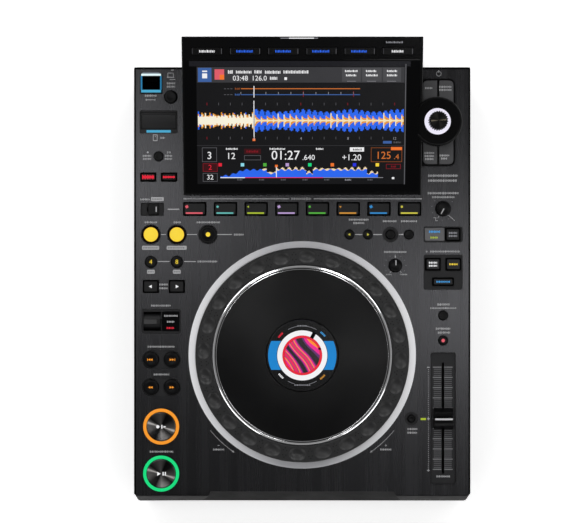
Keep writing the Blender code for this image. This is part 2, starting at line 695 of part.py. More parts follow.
# Jog wheel: a light ring on the plate, a dial on a sleeve, a platter and a fixed centre
def make_jog():
    ring_inner = JOG_RING_RADIUS - RING_WIDTH
    ring_base = PLATE_HEIGHT + SEAT_GAP
    ring_top = ring_base + RING_RISE
    skirt_outer = JOG_HOLE_RADIUS - SEAT_GAP
    skirt_foot = PLATE_HEIGHT - RING_SKIRT
    ring = turned("jog_light_ring", (
        (ring_inner, ring_top), (JOG_RING_RADIUS - KEY_EDGE, ring_top),
        (JOG_RING_RADIUS, ring_top - KEY_EDGE), (JOG_RING_RADIUS, ring_base),
        (skirt_outer, ring_base), (skirt_outer, skirt_foot), (ring_inner, skirt_foot),
    ), JOG_STEPS)
    ring.location = (0.0, JOG_Y, 0.0)
    finish(ring, SILVER, SATIN)
    HOLES.append(cylinder("jog_hole", 0.0, JOG_Y, JOG_HOLE_RADIUS, PLATE_UNDERSIDE - OVERRUN,
                          PLATE_HEIGHT + OVERRUN, JOG_STEPS))

    dial_radius = ring_inner - RUN_GAP
    dial_top = PLATE_HEIGHT + DIAL_RISE
    band_inner = dial_radius - DIAL_BAND
    foot = PLATE_HEIGHT - DIAL_FOOT
    web_top = DIAL_WEB_HEIGHT + DIAL_WEB
    sleeve_inner = POST_RADIUS + RUN_GAP
    sleeve_foot = DIAL_WEB_HEIGHT - SLEEVE_DROP
    dial = turned("jog_dial", (
        (sleeve_inner, web_top), (band_inner, web_top), (band_inner, dial_top - DIAL_EDGE),
        (band_inner + DIAL_EDGE / 2, dial_top), (dial_radius - DIAL_EDGE, dial_top),
        (dial_radius, dial_top - DIAL_EDGE), (dial_radius, foot),
        (dial_radius - DIAL_BAND / 2, foot), (dial_radius - DIAL_BAND / 2, DIAL_WEB_HEIGHT),
        (sleeve_inner + SLEEVE_WALL, DIAL_WEB_HEIGHT), (sleeve_inner + SLEEVE_WALL, sleeve_foot),
        (sleeve_inner, sleeve_foot),
    ), JOG_STEPS)
    dial.location = (0.0, JOG_Y, 0.0)
    dimple_reach = (dial_radius + band_inner) / 2
    dimples = []
    for index in range(DIMPLE_COUNT):
        angle = DIMPLE_START + 2 * math.pi * index / DIMPLE_COUNT
        x, y = dimple_reach * math.sin(angle), JOG_Y + dimple_reach * math.cos(angle)
        bowl = [(out * DIMPLE_RADIUS, dial_top + down * DIMPLE_DEPTH)
                for out, down in DIMPLE_SHARES]
        bowl += [(DIMPLE_RADIUS, dial_top + OVERRUN), (0.0, dial_top + OVERRUN)]
        dimple = turned(f"dimple_{index}", bowl, DIMPLE_STEPS)
        dimple.location = (x, y, 0.0)
        dimples.append(dimple)
    cut(dial, *dimples)
    finish(dial, DARK, RUBBERY)

    platter_outer = band_inner - SEAT_GAP
    platter_inner = CENTRE_RADIUS + RUN_GAP
    platter_base = web_top + SEAT_GAP
    platter_top = PLATE_HEIGHT + PLATTER_RISE
    platter = turned("jog_platter", (
        (platter_inner, platter_top), (platter_outer - PLATTER_BEVEL, platter_top),
        (platter_outer, platter_top - PLATTER_SINK), (platter_outer, platter_base),
        (platter_inner, platter_base),
    ), JOG_STEPS)
    platter.location = (0.0, JOG_Y, 0.0)
    finish(platter, BLACK, GLOSS)

    centre_top = PLATE_HEIGHT + CENTRE_RISE
    post_foot = FOOT_HEIGHT + FLOOR + SEAT_GAP
    centre = turned("jog_centre_display", (
        (0.0, centre_top), (CENTRE_RADIUS - CENTRE_EDGE, centre_top),
        (CENTRE_RADIUS, centre_top - CENTRE_EDGE), (CENTRE_RADIUS, web_top + RUN_GAP),
        (POST_RADIUS, web_top + RUN_GAP), (POST_RADIUS, post_foot + POST_FOOT_THICKNESS),
        (POST_FOOT_RADIUS, post_foot + POST_FOOT_THICKNESS), (POST_FOOT_RADIUS, post_foot),
        (0.0, post_foot),
    ), 2 * ROUND_STEPS)
    centre.location = (0.0, JOG_Y, 0.0)
    finish(centre, BLACK, GLOSS)


def make_fader():
    x, y = COLUMN_X, row_y("fader")
    top = PLATE_HEIGHT - FADER_SINK
    underside = top - FADER_INLAY_THICKNESS
    unit = rounded_prism("fader_unit", x, y, FADER_INLAY, PANEL_CORNER, underside, top)
    body = centred_box("fader_body", x, y, FADER_BODY, underside - FADER_BODY_DROP,
                       underside + FADER_INLAY_THICKNESS / 2)
    stem_width, stem_length = FADER_STEM
    slot = (stem_width + 2 * RUN_GAP, 2 * FADER_TRAVEL + stem_length + 2 * RUN_GAP)
    groove = centred_box("fader_groove", x, y, slot, top - FADER_STEM_DROP - OVERRUN,
                         top + OVERRUN)
    fuse(unit, body)
    cut(unit, groove)
    finish(unit, DARK, SATIN)
    hole = (FADER_INLAY[0] + 2 * SEAT_GAP, FADER_INLAY[1] + 2 * SEAT_GAP)
    HOLES.append(rounded_prism("fader_hole", x, y, hole, PANEL_CORNER, PLATE_UNDERSIDE - OVERRUN,
                               PLATE_HEIGHT + OVERRUN))

    width, length = FADER_CAP
    points = [(along * length, up * FADER_CAP_RISE) for along, up in FADER_CAP_SHARES]
    cap = side_prism("fader_cap", points, width)
    stem = centred_box("fader_stem", 0.0, 0.0, FADER_STEM, -FADER_STEM_DROP,
                       FADER_CAP_RISE / 2)
    place = (x, y, top + SEAT_GAP)
    cap.location = place
    stem.location = place
    fuse(cap, stem)
    finish(cap, BLACK, SATIN)


# Display: a wedge of a housing with a sloping face, its glass and its strip of keys
DISPLAY_RISE = DISPLAY_TOP_HEIGHT - PLATE_HEIGHT - DISPLAY_FRONT_RISE
TILT = math.atan2(DISPLAY_RISE, DISPLAY_DEPTH)
FACE_LENGTH = math.hypot(DISPLAY_RISE, DISPLAY_DEPTH)
DISPLAY_WIDTH = WIDTH - 2 * DISPLAY_SIDE_MARGIN
FACE_FRAME = (Matrix.Translation((0.0, DISPLAY_FRONT_Y, PLATE_HEIGHT + DISPLAY_FRONT_RISE))
              @ Matrix.Rotation(TILT, 4, "X"))


def on_face(thing):
    """Carry a shape made on the flat to the sloping face of the display."""
    thing.data.transform(FACE_FRAME)
    return thing


def face_height(y):
    return PLATE_HEIGHT + DISPLAY_FRONT_RISE + (y - DISPLAY_FRONT_Y) * math.tan(TILT)


def key_places():
    middle = (DISPLAY_KEY_COUNT - 1) / 2
    return [(index - middle) * DISPLAY_KEY_PITCH for index in range(DISPLAY_KEY_COUNT)]


def make_display():
    base = PLATE_HEIGHT + SEAT_GAP
    rear = DEPTH / 2
    housing = side_prism("display_housing", (
        (DISPLAY_FRONT_Y, base), (REAR_Y, base),
        (rear, DISPLAY_TOP_HEIGHT - DISPLAY_REAR_THICKNESS), (rear, DISPLAY_TOP_HEIGHT),
        (DISPLAY_FRONT_Y, face_height(DISPLAY_FRONT_Y)),
    ), DISPLAY_WIDTH)
    front_in, rear_in = DISPLAY_FRONT_Y + WALL, rear - WALL
    hollow = side_prism("display_hollow", (
        (front_in, PLATE_HEIGHT - OVERRUN), (REAR_Y - WALL, PLATE_HEIGHT - OVERRUN),
        (REAR_Y - WALL, base + WALL), (rear_in, DISPLAY_TOP_HEIGHT - DISPLAY_REAR_THICKNESS + WALL),
        (rear_in, face_height(rear_in) - DISPLAY_FACE),
        (front_in, face_height(front_in) - DISPLAY_FACE),
    ), DISPLAY_WIDTH - 2 * WALL)
    cut(housing, hollow)
    add_selector_surround(housing, base)

    glass_length = FACE_LENGTH - GLASS_FRONT_MARGIN - GLASS_REAR_MARGIN
    glass_size = (DISPLAY_WIDTH - 2 * GLASS_SIDE_MARGIN, glass_length)
    glass_y = GLASS_FRONT_MARGIN + glass_length / 2
    pocket = (glass_size[0] + 2 * SEAT_GAP, glass_size[1] + 2 * SEAT_GAP)
    tools = [on_face(centred_box("glass_pocket", 0.0, glass_y, pocket,
                                 -GLASS_THICKNESS - SEAT_GAP, OVERRUN))]
    key_y = FACE_LENGTH - DISPLAY_KEY_INSET
    width, depth = DISPLAY_KEY
    slot = (width + 2 * RUN_GAP, depth + 2 * RUN_GAP)
    for index, x in enumerate(key_places()):
        tools.append(on_face(centred_box(f"key_slot_{index}", x, key_y, slot,
                                         -DISPLAY_FACE - OVERRUN, OVERRUN)))
    cut(housing, *tools)
    finish(housing, BLACK, GLOSS)

    glass = on_face(centred_box("display_glass", 0.0, glass_y, glass_size, -GLASS_THICKNESS, 0.0))
    finish(glass, BLACK, GLOSS)

    under = -DISPLAY_FACE - SEAT_GAP
    strip = on_face(centred_box("display_key_strip", 0.0, key_y, DISPLAY_STRIP,
                                under - DISPLAY_STRIP_THICKNESS, under))
    caps = [on_face(centred_box(f"display_cap_{index}", x, key_y, DISPLAY_KEY,
                                under - DISPLAY_STRIP_THICKNESS / 2, DISPLAY_KEY_PROUD))
            for index, x in enumerate(key_places())]
    fuse(strip, *caps)
    finish(strip, BLACK, GLOSS)
    set_origin(strip, FACE_FRAME @ Vector((0.0, key_y, under)))


SELECTOR_X = WIDTH / 2 - SELECTOR_INSET
SURROUND_LEFT = DISPLAY_WIDTH / 2
SURROUND_RIGHT = WIDTH / 2 - SELECTOR_INSET + SELECTOR_DISC_RADIUS - SURROUND_SHORT


def add_selector_surround(housing, base):
    """The raised frame beside the display, with a disc on a column for the selector."""
    x, y = SELECTOR_X, row_y("selector")
    top = PLATE_HEIGHT + SURROUND_RISE
    frame = span_prism("surround", (SURROUND_LEFT - SURROUND_CORNER, SURROUND_RIGHT), y,
                       SURROUND_LENGTH, SURROUND_CORNER, base, top)
    plain = box("surround_trim", (0.0, y - SURROUND_LENGTH, base - OVERRUN),
                (SURROUND_LEFT - WALL / 2, y + SURROUND_LENGTH, top + OVERRUN))
    combine(frame, plain, "DIFFERENCE")
    combine(housing, frame, "UNION")
    well = span_prism("surround_well", (SURROUND_LEFT + SURROUND_RIM, SURROUND_RIGHT - SURROUND_RIM),
                      y, SURROUND_LENGTH - 2 * SURROUND_RIM, SURROUND_CORNER - SURROUND_RIM,
                      base + SURROUND_FLOOR, top + OVERRUN)
    combine(housing, well, "DIFFERENCE")
    disc_top = PLATE_HEIGHT + SELECTOR_DISC_RISE
    disc_base = disc_top - SELECTOR_DISC_THICKNESS
    column = turned("selector_column", (
        (0.0, disc_top), (SELECTOR_DISC_RADIUS - DISPLAY_EDGE, disc_top),
        (SELECTOR_DISC_RADIUS, disc_top - DISPLAY_EDGE), (SELECTOR_DISC_RADIUS, disc_base),
        (SELECTOR_COLUMN_RADIUS, disc_base), (SELECTOR_COLUMN_RADIUS, base + SEAT_GAP),
        (0.0, base + SEAT_GAP),
    ), 2 * ROUND_STEPS)
    column.location = (x, y, 0.0)
    combine(housing, column, "UNION")
    notch = cylinder("selector_notch", x, y, SELECTOR_DISC_RADIUS + SEAT_GAP, disc_top,
                     DISPLAY_TOP_HEIGHT, 2 * ROUND_STEPS)
    bore = cylinder("selector_bore", x, y, SELECTOR_SHAFT + RUN_GAP,
                    disc_top - SELECTOR_SHAFT_DROP - RUN_GAP, disc_top + OVERRUN)
    combine(housing, notch, "DIFFERENCE")
    combine(housing, bore, "DIFFERENCE")

    knob = turned("selector_knob", (
        (0.0, disc_top + SELECTOR_KNOB_RISE),
        (SELECTOR_KNOB_RADIUS - DISPLAY_EDGE, disc_top + SELECTOR_KNOB_RISE),
        (SELECTOR_KNOB_RADIUS, disc_top + SELECTOR_KNOB_RISE - DISPLAY_EDGE),
        (SELECTOR_KNOB_RADIUS, disc_top + SEAT_GAP), (SELECTOR_SHAFT, disc_top + SEAT_GAP),
        (SELECTOR_SHAFT, disc_top - SELECTOR_SHAFT_DROP), (0.0, disc_top - SELECTOR_SHAFT_DROP),
    ), 2 * ROUND_STEPS)
    knob.location = (x, y, 0.0)
    finish(knob, BLACK, SATIN)
    make_selector_keys(x, y, base + SURROUND_FLOOR, top)


def span_prism(name, ends, y, length, radius, low, high):
    """A prism with rounded corners between two places across the player."""
    left, right = ends
    return rounded_prism(name, (left + right) / 2, y, (right - left, length), radius, low, high)


def make_selector_keys(x, y, floor, top):
    """Four keys on one web that lies in the well round the selector's column."""
    rim = SURROUND_RIM + RUN_GAP
    ends = (SURROUND_LEFT + rim, SURROUND_RIGHT - rim)
    web_base = floor + KEY_TRAVEL + SEAT_GAP
    web_top = web_base + SELECTOR_KEY_WEB
    key_top = top + SELECTOR_KEY_PROUD
    keys = span_prism("selector_keys", ends, y, SURROUND_LENGTH - 2 * rim, SURROUND_CORNER - rim,
                      web_base, key_top)
    middle, gap = sum(ends) / 2, SELECTOR_KEY_SPLIT / 2
    split = box("selector_split", (middle - gap, y - SURROUND_LENGTH, web_top),
                (middle + gap, y + SURROUND_LENGTH, key_top + OVERRUN))
    band = box("selector_band", (ends[0] - OVERRUN, y - SELECTOR_KEY_REACH, web_top),
               (ends[1] + OVERRUN, y + SELECTOR_KEY_REACH, key_top + OVERRUN))
    hole = cylinder("selector_key_hole", x, y, SELECTOR_COLUMN_RADIUS + RUN_GAP, floor,
                    top + OVERRUN, 2 * ROUND_STEPS)
    for tool in (split, band, hole):
        combine(keys, tool, "DIFFERENCE")
    finish(keys, DARK, SATIN)
    set_origin(keys, (x, y, web_base))


def make_media():
    """The lit media port and card reader on one small board, and the card door."""
    port_x, port_y = -COLUMN_X - MEDIA_STEP, row_y("media")
    card_x, card_y = -COLUMN_X - MEDIA_SHIFT, row_y("card")
    board_top = PLATE_HEIGHT - MEDIA_SLOT_DEPTH - MEDIA_PORT_FLOOR
    card_low = card_y - CARD_DOOR[1] / 2
    board = box("media_port",
                (card_x - CARD_DOOR[0] / 2, card_low, board_top - MEDIA_BOARD_THICKNESS),
                (card_x + CARD_DOOR[0] / 2, port_y + MEDIA_FRAME[1] / 2, board_top))
    port = centred_box("media_block", port_x, port_y, MEDIA_FRAME,
                       board_top - MEDIA_BOARD_THICKNESS / 2, PLATE_HEIGHT + SEAT_GAP)
    reader_depth = CARD_DOOR[1] - 2 * CARD_PIN_RADIUS
    reader_y = card_low + reader_depth / 2
    reader = centred_box("card_reader", card_x, reader_y, (CARD_DOOR[0], reader_depth),
                         board_top - MEDIA_BOARD_THICKNESS / 2,
                         PLATE_UNDERSIDE - CARD_BLOCK_DROP)
    slot = centred_box("media_slot", port_x, port_y, MEDIA_SLOT,
                       PLATE_HEIGHT - MEDIA_SLOT_DEPTH, PLATE_HEIGHT + OVERRUN)
    card_slot = centred_box("card_slot", card_x, reader_y, CARD_SLOT,
                            PLATE_UNDERSIDE - CARD_BLOCK_DROP - CARD_SLOT_DEPTH,
                            PLATE_HEIGHT)
    tongue = centred_box("media_tongue", port_x, port_y + MEDIA_SLOT[1] / 4, MEDIA_TONGUE,
                         PLATE_HEIGHT - MEDIA_SLOT_DEPTH - MEDIA_BOARD_THICKNESS / 2,
                         PLATE_HEIGHT - MEDIA_TONGUE_DROP)
    fuse(board, port, reader)
    cut(board, slot, card_slot)
    combine(board, tongue, "UNION")
    finish(board, DARK, SATIN)
    hole = (MEDIA_FRAME[0] + 2 * SEAT_GAP, MEDIA_FRAME[1] + 2 * SEAT_GAP)
    HOLES.append(centred_box("media_hole", port_x, port_y, hole, PLATE_UNDERSIDE - OVERRUN,
                             PLATE_HEIGHT + OVERRUN))

    panel_recess("card_recess", card_x, card_y - CARD_PANEL_STEP, CARD_PANEL)
    axis_y = card_y + CARD_DOOR[1] / 2 - CARD_PIN_RADIUS
    axis_z = PLATE_HEIGHT - RECESS_DEPTH - CARD_DOOR_THICKNESS / 2
    half = CARD_DOOR_THICKNESS / 2
    door = box("card_door", (-CARD_DOOR[0] / 2, card_low - axis_y, -half),
               (CARD_DOOR[0] / 2, 0.0, half))
    pin = turned("card_pin", ((0.0, CARD_DOOR[0] / 2), (CARD_PIN_RADIUS, CARD_DOOR[0] / 2),
                              (CARD_PIN_RADIUS, -CARD_DOOR[0] / 2), (0.0, -CARD_DOOR[0] / 2)))
    pin.data.transform(Matrix.Rotation(math.radians(90), 4, "Y"))
    place = (card_x, axis_y, axis_z)
    door.location = place
    pin.location = place
    fuse(door, pin)
    finish(door, DARK, SATIN)
    HOLES.append(box("card_hole",
                     (card_x - CARD_DOOR[0] / 2 - RUN_GAP, card_low - RUN_GAP,
                      PLATE_UNDERSIDE - OVERRUN),
                     (card_x + CARD_DOOR[0] / 2 + RUN_GAP, axis_y + CARD_PIN_RADIUS + RUN_GAP,
                      PLATE_HEIGHT + OVERRUN)))


# Rear sockets stand on the main board and reach through the chassis wall
SOCKETS = (
    ("mains", MAINS_SHARE, MAINS_SOCKET, MAINS_MOUTH),
    ("network", NETWORK_SHARE, NETWORK_SOCKET, NETWORK_MOUTH),
    ("data", DATA_SHARE, DATA_SOCKET, DATA_MOUTH),
)


def rear_cylinder(name, x, z, radius, front, back):
    rod = cylinder(name, 0.0, 0.0, radius, front, back)
    rod.data.transform(Matrix.Translation((x, 0.0, z)) @ Matrix.Rotation(math.radians(-90), 4, "X"))
    return rod


def make_main_board():
    board_top = BOARD_HEIGHT + BOARD_THICKNESS
    half = WIDTH / 2 - WALL - BOARD_INSET
    board_rear = REAR_Y - WALL - SEAT_GAP
    board = box("main_board", (-half, board_rear - BOARD_DEPTH, BOARD_HEIGHT),
                (half, board_rear, board_top))
    adds, mouths, holes = [], [], []
    post_low = FOOT_HEIGHT + FLOOR + SEAT_GAP
    for x in (-half + POST_STEP + PEG_RADIUS, half - POST_STEP - PEG_RADIUS):
        for y in (board_rear - BOARD_DEPTH + POST_STEP + PEG_RADIUS,
                  board_rear - SOCKET_LENGTH - POST_STEP - PEG_RADIUS):
            adds.append(cylinder("board_post", x, y, PEG_RADIUS, post_low,
                                 BOARD_HEIGHT + BOARD_THICKNESS / 2, 12))
    power_x = across(MAINS_SHARE)
    width, depth, height = POWER_BLOCK
    power_y = board_rear - SOCKET_LENGTH - depth / 2
    adds.append(box("power_section",
                    (power_x - width / 2, power_y - depth / 2, BOARD_HEIGHT + BOARD_THICKNESS / 2),
                    (power_x + width / 2, power_y + depth / 2, board_top + height)))
    for name, share, (width, height), (mouth_width, mouth_height, mouth_depth) in SOCKETS:
        x = across(share)
        low = BOARD_HEIGHT + BOARD_THICKNESS / 2
        high = SOCKET_BASE + height
        adds.append(box(name, (x - width / 2, REAR_Y - SOCKET_LENGTH, low),
                        (x + width / 2, board_rear, high)))
        adds.append(box(name, (x - width / 2, board_rear - WALL, SOCKET_BASE),
                        (x + width / 2, REAR_Y, high)))
        middle = (SOCKET_BASE + high) / 2
        mouths.append(box(name + "_mouth",
                          (x - mouth_width / 2, REAR_Y - mouth_depth, middle - mouth_height / 2),
                          (x + mouth_width / 2, REAR_Y + OVERRUN, middle + mouth_height / 2)))
        holes.append(box(name + "_hole",
                         (x - width / 2 - SEAT_GAP, REAR_Y - WALL - OVERRUN,
                          SOCKET_BASE - SEAT_GAP),
                         (x + width / 2 + SEAT_GAP, REAR_Y + OVERRUN, high + SEAT_GAP)))
    rods = []
    for share in SOUND_SHARES:
        x = across(share)
        adds.append(box("sound_block",
                        (x - 2 * SOUND_RADIUS, REAR_Y - SOCKET_LENGTH,
                         BOARD_HEIGHT + BOARD_THICKNESS / 2),
                        (x + 2 * SOUND_RADIUS, board_rear, SOUND_RISE + 2 * SOUND_RADIUS)))
        rods.append(rear_cylinder("sound_jack", x, SOUND_RISE, SOUND_RADIUS, board_rear - WALL,
                                  REAR_Y + SOUND_REACH))
        mouths.append(rear_cylinder("sound_bore", x, SOUND_RISE, SOUND_BORE,
                                    REAR_Y + SOUND_REACH - SOUND_BORE_DEPTH,
                                    REAR_Y + SOUND_REACH + OVERRUN))
        holes.append(rear_cylinder("sound_hole", x, SOUND_RISE, SOUND_RADIUS + SEAT_GAP,
                                   REAR_Y - WALL - OVERRUN, REAR_Y + OVERRUN))
    x = across(POWER_BUTTON_SHARE)
    width, height = POWER_BUTTON
    high = SOCKET_BASE + height
    adds.append(box("power_button_block",
                    (x - width / 2, REAR_Y - SOCKET_LENGTH, BOARD_HEIGHT + BOARD_THICKNESS / 2),
                    (x + width / 2, board_rear, high)))
    adds.append(box("power_button", (x - width / 2, board_rear - WALL, SOCKET_BASE),
                    (x + width / 2, REAR_Y, high)))
    holes.append(box("power_button_hole",
                     (x - width / 2 - SEAT_GAP, REAR_Y - WALL - OVERRUN, SOCKET_BASE - SEAT_GAP),
                     (x + width / 2 + SEAT_GAP, REAR_Y + OVERRUN, high + SEAT_GAP)))
    for add in adds + rods:
        combine(board, add, "UNION")
    cut(board, *mouths)
    finish(board, GREEN_BOARD, SATIN)
    return holes


def foot_places():
    x = WIDTH / 2 - FOOT_INSET_X
    return (("front_left", -x, FRONT_Y + FOOT_INSET_Y), ("front_right", x, FRONT_Y + FOOT_INSET_Y),
            ("rear_left", -x, REAR_Y - FOOT_INSET_Y), ("rear_right", x, REAR_Y - FOOT_INSET_Y))


def make_feet():
    seat = FOOT_HEIGHT - SEAT_GAP
    peg_top = FOOT_HEIGHT + FLOOR + PEG_RISE
    holes = []
    for name, x, y in foot_places():
        foot = turned("foot_" + name, (
            (0.0, peg_top), (PEG_RADIUS, peg_top), (PEG_RADIUS, seat), (FOOT_RADIUS, seat),
            (FOOT_RADIUS - KNOB_TAPER, 0.0), (0.0, 0.0),
        ))
        foot.location = (x, y, 0.0)
        finish(foot, BLACK, RUBBERY)
        holes.append(cylinder("foot_hole", x, y, PEG_RADIUS + SEAT_GAP, FOOT_HEIGHT - OVERRUN,
                              FOOT_HEIGHT + FLOOR + OVERRUN / 2))
    return holes


def soften_corners(thing, radius):
    """Round the upright and sloping edges at the four corners of a case."""
    edit = bmesh.new()
    edit.from_mesh(thing.data)
    half = max(vert.co.x for vert in edit.verts)
    edges = []
    for edge in edit.edges:
        ends = [vert.co for vert in edge.verts]
        at_side = all(abs(abs(point.x) - half) < MERGE for point in ends)
        rises = abs(ends[0].z - ends[1].z) > MERGE and len(edge.link_faces) == 2
        square = rises and edge.calc_face_angle() > SQUARE_EDGE
        if at_side and square:
            edges.append(edge)
    bmesh.ops.bevel(edit, geom=edges, offset=radius, segments=CORNER_SEGMENTS, profile=0.5,
                    affect="EDGES")
    edit.to_mesh(thing.data)
    edit.free()


def make_bottom_chassis(holes):
    chassis = box("bottom_chassis", (-WIDTH / 2, FRONT_Y, FOOT_HEIGHT),
                  (WIDTH / 2, REAR_Y, SPLIT_HEIGHT))
    soften_corners(chassis, CORNER_RADIUS)
    inside = box("chassis_inside", (-WIDTH / 2 + WALL, FRONT_Y + WALL, FOOT_HEIGHT + FLOOR),
                 (WIDTH / 2 - WALL, REAR_Y - WALL, SPLIT_HEIGHT + OVERRUN))
    combine(chassis, inside, "DIFFERENCE")
    cut(chassis, *holes)
    finish(chassis, BLACK, SATIN, 0.4)


def make_upper_case():
    base = SPLIT_HEIGHT + SEAT_GAP
    case = side_prism("upper_case", (
        (REAR_Y, base), (REAR_Y, PLATE_HEIGHT), (FRONT_Y + LIP_RUN, PLATE_HEIGHT),
        (FRONT_Y, LIP_FOOT_HEIGHT), (FRONT_Y, base),
    ), WIDTH)
    soften_corners(case, CORNER_RADIUS)
    inside = side_prism("case_inside", (
        (REAR_Y - WALL, base - OVERRUN), (REAR_Y - WALL, PLATE_UNDERSIDE),
        (FRONT_Y + LIP_RUN + WALL, PLATE_UNDERSIDE), (FRONT_Y + WALL, LIP_FOOT_HEIGHT),
        (FRONT_Y + WALL, base - OVERRUN),
    ), WIDTH - 2 * WALL)
    backing_width = LIP_RECESS_WIDTH + 2 * LIP_RECESS_SLANT + 2 * WALL
    backing = side_prism("lip_backing", (
        (FRONT_Y + LIP_RUN + LIP_RECESS + WALL, PLATE_UNDERSIDE + OVERRUN),
        (FRONT_Y + WALL, LIP_FOOT_HEIGHT), (FRONT_Y - OVERRUN, LIP_FOOT_HEIGHT),
        (FRONT_Y - OVERRUN, PLATE_UNDERSIDE + OVERRUN),
    ), backing_width)
    combine(inside, backing, "DIFFERENCE")
    combine(case, inside, "DIFFERENCE")
    cut(case, make_lip_cutter())
    combine(case, gather("case_recesses", RECESSES), "DIFFERENCE")
    combine(case, gather("case_holes", HOLES), "DIFFERENCE")
    finish(case, PAINTED, SATIN, 0.6)


def make_lip_cutter():
    """A wedge with slanted ends, which sets the middle of the front lip back."""
    wedge = side_prism("lip_recess", (
        (FRONT_Y, LIP_FOOT_HEIGHT), (FRONT_Y + LIP_RUN + LIP_RECESS, PLATE_HEIGHT),
        (FRONT_Y + LIP_RUN + LIP_RECESS, PLATE_HEIGHT + OVERRUN),
        (FRONT_Y - OVERRUN, PLATE_HEIGHT + OVERRUN), (FRONT_Y - OVERRUN, LIP_FOOT_HEIGHT),
    ), LIP_RECESS_WIDTH)
    deep = FRONT_Y + LIP_RUN + LIP_RECESS - MERGE
    for vert in wedge.data.vertices:
        if vert.co.y < deep:
            vert.co.x += math.copysign(LIP_RECESS_SLANT, vert.co.x)
    return wedge


make_left_controls()
make_middle_controls()
make_right_controls()
make_direction_lever()
make_slide_switch()
make_jog()
make_fader()
make_display()
make_media()
make_upper_case()
make_bottom_chassis(make_main_board() + make_feet())
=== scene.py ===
# %% [markdown]
# # Dressing a tabletop DJ media player
# The solids of the player come packed as a fixed frame. This notebook gives them their
# looks: softer edges, lit keys, a screen, grooves, grain and print. Every new piece is
# modelled with Blender's own operators, sits where its solid sits, and rides on its body.

# %% Load the frame
import math

import bmesh
import bpy
from mathutils import Matrix, Vector


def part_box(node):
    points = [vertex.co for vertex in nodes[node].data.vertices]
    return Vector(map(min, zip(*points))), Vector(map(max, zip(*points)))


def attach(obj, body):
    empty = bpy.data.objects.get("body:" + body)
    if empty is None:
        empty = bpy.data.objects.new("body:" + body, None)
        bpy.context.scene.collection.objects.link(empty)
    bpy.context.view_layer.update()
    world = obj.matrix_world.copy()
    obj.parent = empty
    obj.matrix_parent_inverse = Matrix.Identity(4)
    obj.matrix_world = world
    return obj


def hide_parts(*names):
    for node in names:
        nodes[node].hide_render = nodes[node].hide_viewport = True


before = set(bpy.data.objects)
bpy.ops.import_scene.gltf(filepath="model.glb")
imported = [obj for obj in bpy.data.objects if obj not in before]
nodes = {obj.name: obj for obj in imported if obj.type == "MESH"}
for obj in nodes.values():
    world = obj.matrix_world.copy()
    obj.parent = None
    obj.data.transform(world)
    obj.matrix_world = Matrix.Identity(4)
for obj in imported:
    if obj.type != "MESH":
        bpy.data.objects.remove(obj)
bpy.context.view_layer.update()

MM = 0.001
PLATE = 80.0         # height of the plate in millimetres
JOG = (0.0, -79.4)   # the axis of the jog wheel, in millimetres

# %% [markdown]
# ## The view
# The player is seen from straight above, as on a product page. A long lens about 1.6 m
# up keeps the perspective flat, so the raised display looks only a little larger.

# %% Camera
camera = bpy.data.objects.new("camera", bpy.data.cameras.new("camera"))
bpy.context.scene.collection.objects.link(camera)
camera.data.lens = 97.4
camera.location = (-0.009, 0.0118, 1.63)
bpy.context.scene.camera = camera
bpy.context.scene.view_settings.view_transform = "Standard"
print("camera at", tuple(camera.location))


# %% [markdown]
# ## Small helpers for materials
# Colours are written as a paint chart gives them, in hexadecimal, and turned into the
# linear numbers that Blender mixes. The other helpers add a shader node with its settings
# and fill its sockets, each with a value or with a link from another node.

# %% Ink and nodes
PLATE_GREY = "3c3c3e"


def ink(code):
    """A linear colour from a hexadecimal one."""
    parts = [int(code[place:place + 2], 16) / 255 for place in (0, 2, 4)]
    return (*[part / 12.92 if part < 0.04045 else ((part + 0.055) / 1.055) ** 2.4
              for part in parts], 1.0)


def feed(tree, node, **sockets):
    """Fill a node's sockets, named with underscores or numbered i0, i1 and so on."""
    for name, value in sockets.items():
        place = int(name[1:]) if name[1:].isdigit() else name.replace("_", " ")
        if isinstance(value, bpy.types.NodeSocket):
            tree.links.new(value, node.inputs[place])
        else:
            node.inputs[place].default_value = value
    return node


def add(tree, kind, settings=None, **sockets):
    made = tree.nodes.new("ShaderNode" + kind)
    for name, value in (settings or {}).items():
        setattr(made, name, value)
    return feed(tree, made, **sockets)


def maths(tree, operation, *values):
    """A Math node's result."""
    sockets = {f"i{place}": value for place, value in enumerate(values)}
    return add(tree, "Math", {"operation": operation}, **sockets).outputs[0]


def blend(tree, factor, low, high):
    return add(tree, "Mix", {"data_type": "RGBA"}, Factor=factor, i6=low, i7=high).outputs[2]


def place_on(tree):
    return add(tree, "TexCoord").outputs["Object"]


def new_material(name):
    """A material with its node tree and its main shader."""
    material = bpy.data.materials.new(name)
    material.use_nodes = True
    return material, material.node_tree, material.node_tree.nodes["Principled BSDF"]


print("plate grey is", [round(part, 3) for part in ink(PLATE_GREY)])

# %% [markdown]
# ## Effects that several finishes share
# An effect is a node group, so that several finishes can use it, each with its own values:
# brushed grain, moulded grain, and how far and in which direction a point lies from an
# upright axis, which grooves and spun metal need. A group puts out only numbers, and the
# shader that turns them into a surface stays in the material.


# %% Node groups
def effect(name, inputs, outputs):
    tree = bpy.data.node_groups.new(name, "ShaderNodeTree")
    for word, value in inputs.items():
        tree.interface.new_socket(word, in_out="INPUT", socket_type="NodeSocketFloat")
        tree.interface.items_tree[-1].default_value = value
    for word in outputs:
        tree.interface.new_socket(word, in_out="OUTPUT", socket_type="NodeSocketFloat")
    given, result = (tree.nodes.new("NodeGroup" + side) for side in ("Input", "Output"))
    return tree, given.outputs, result


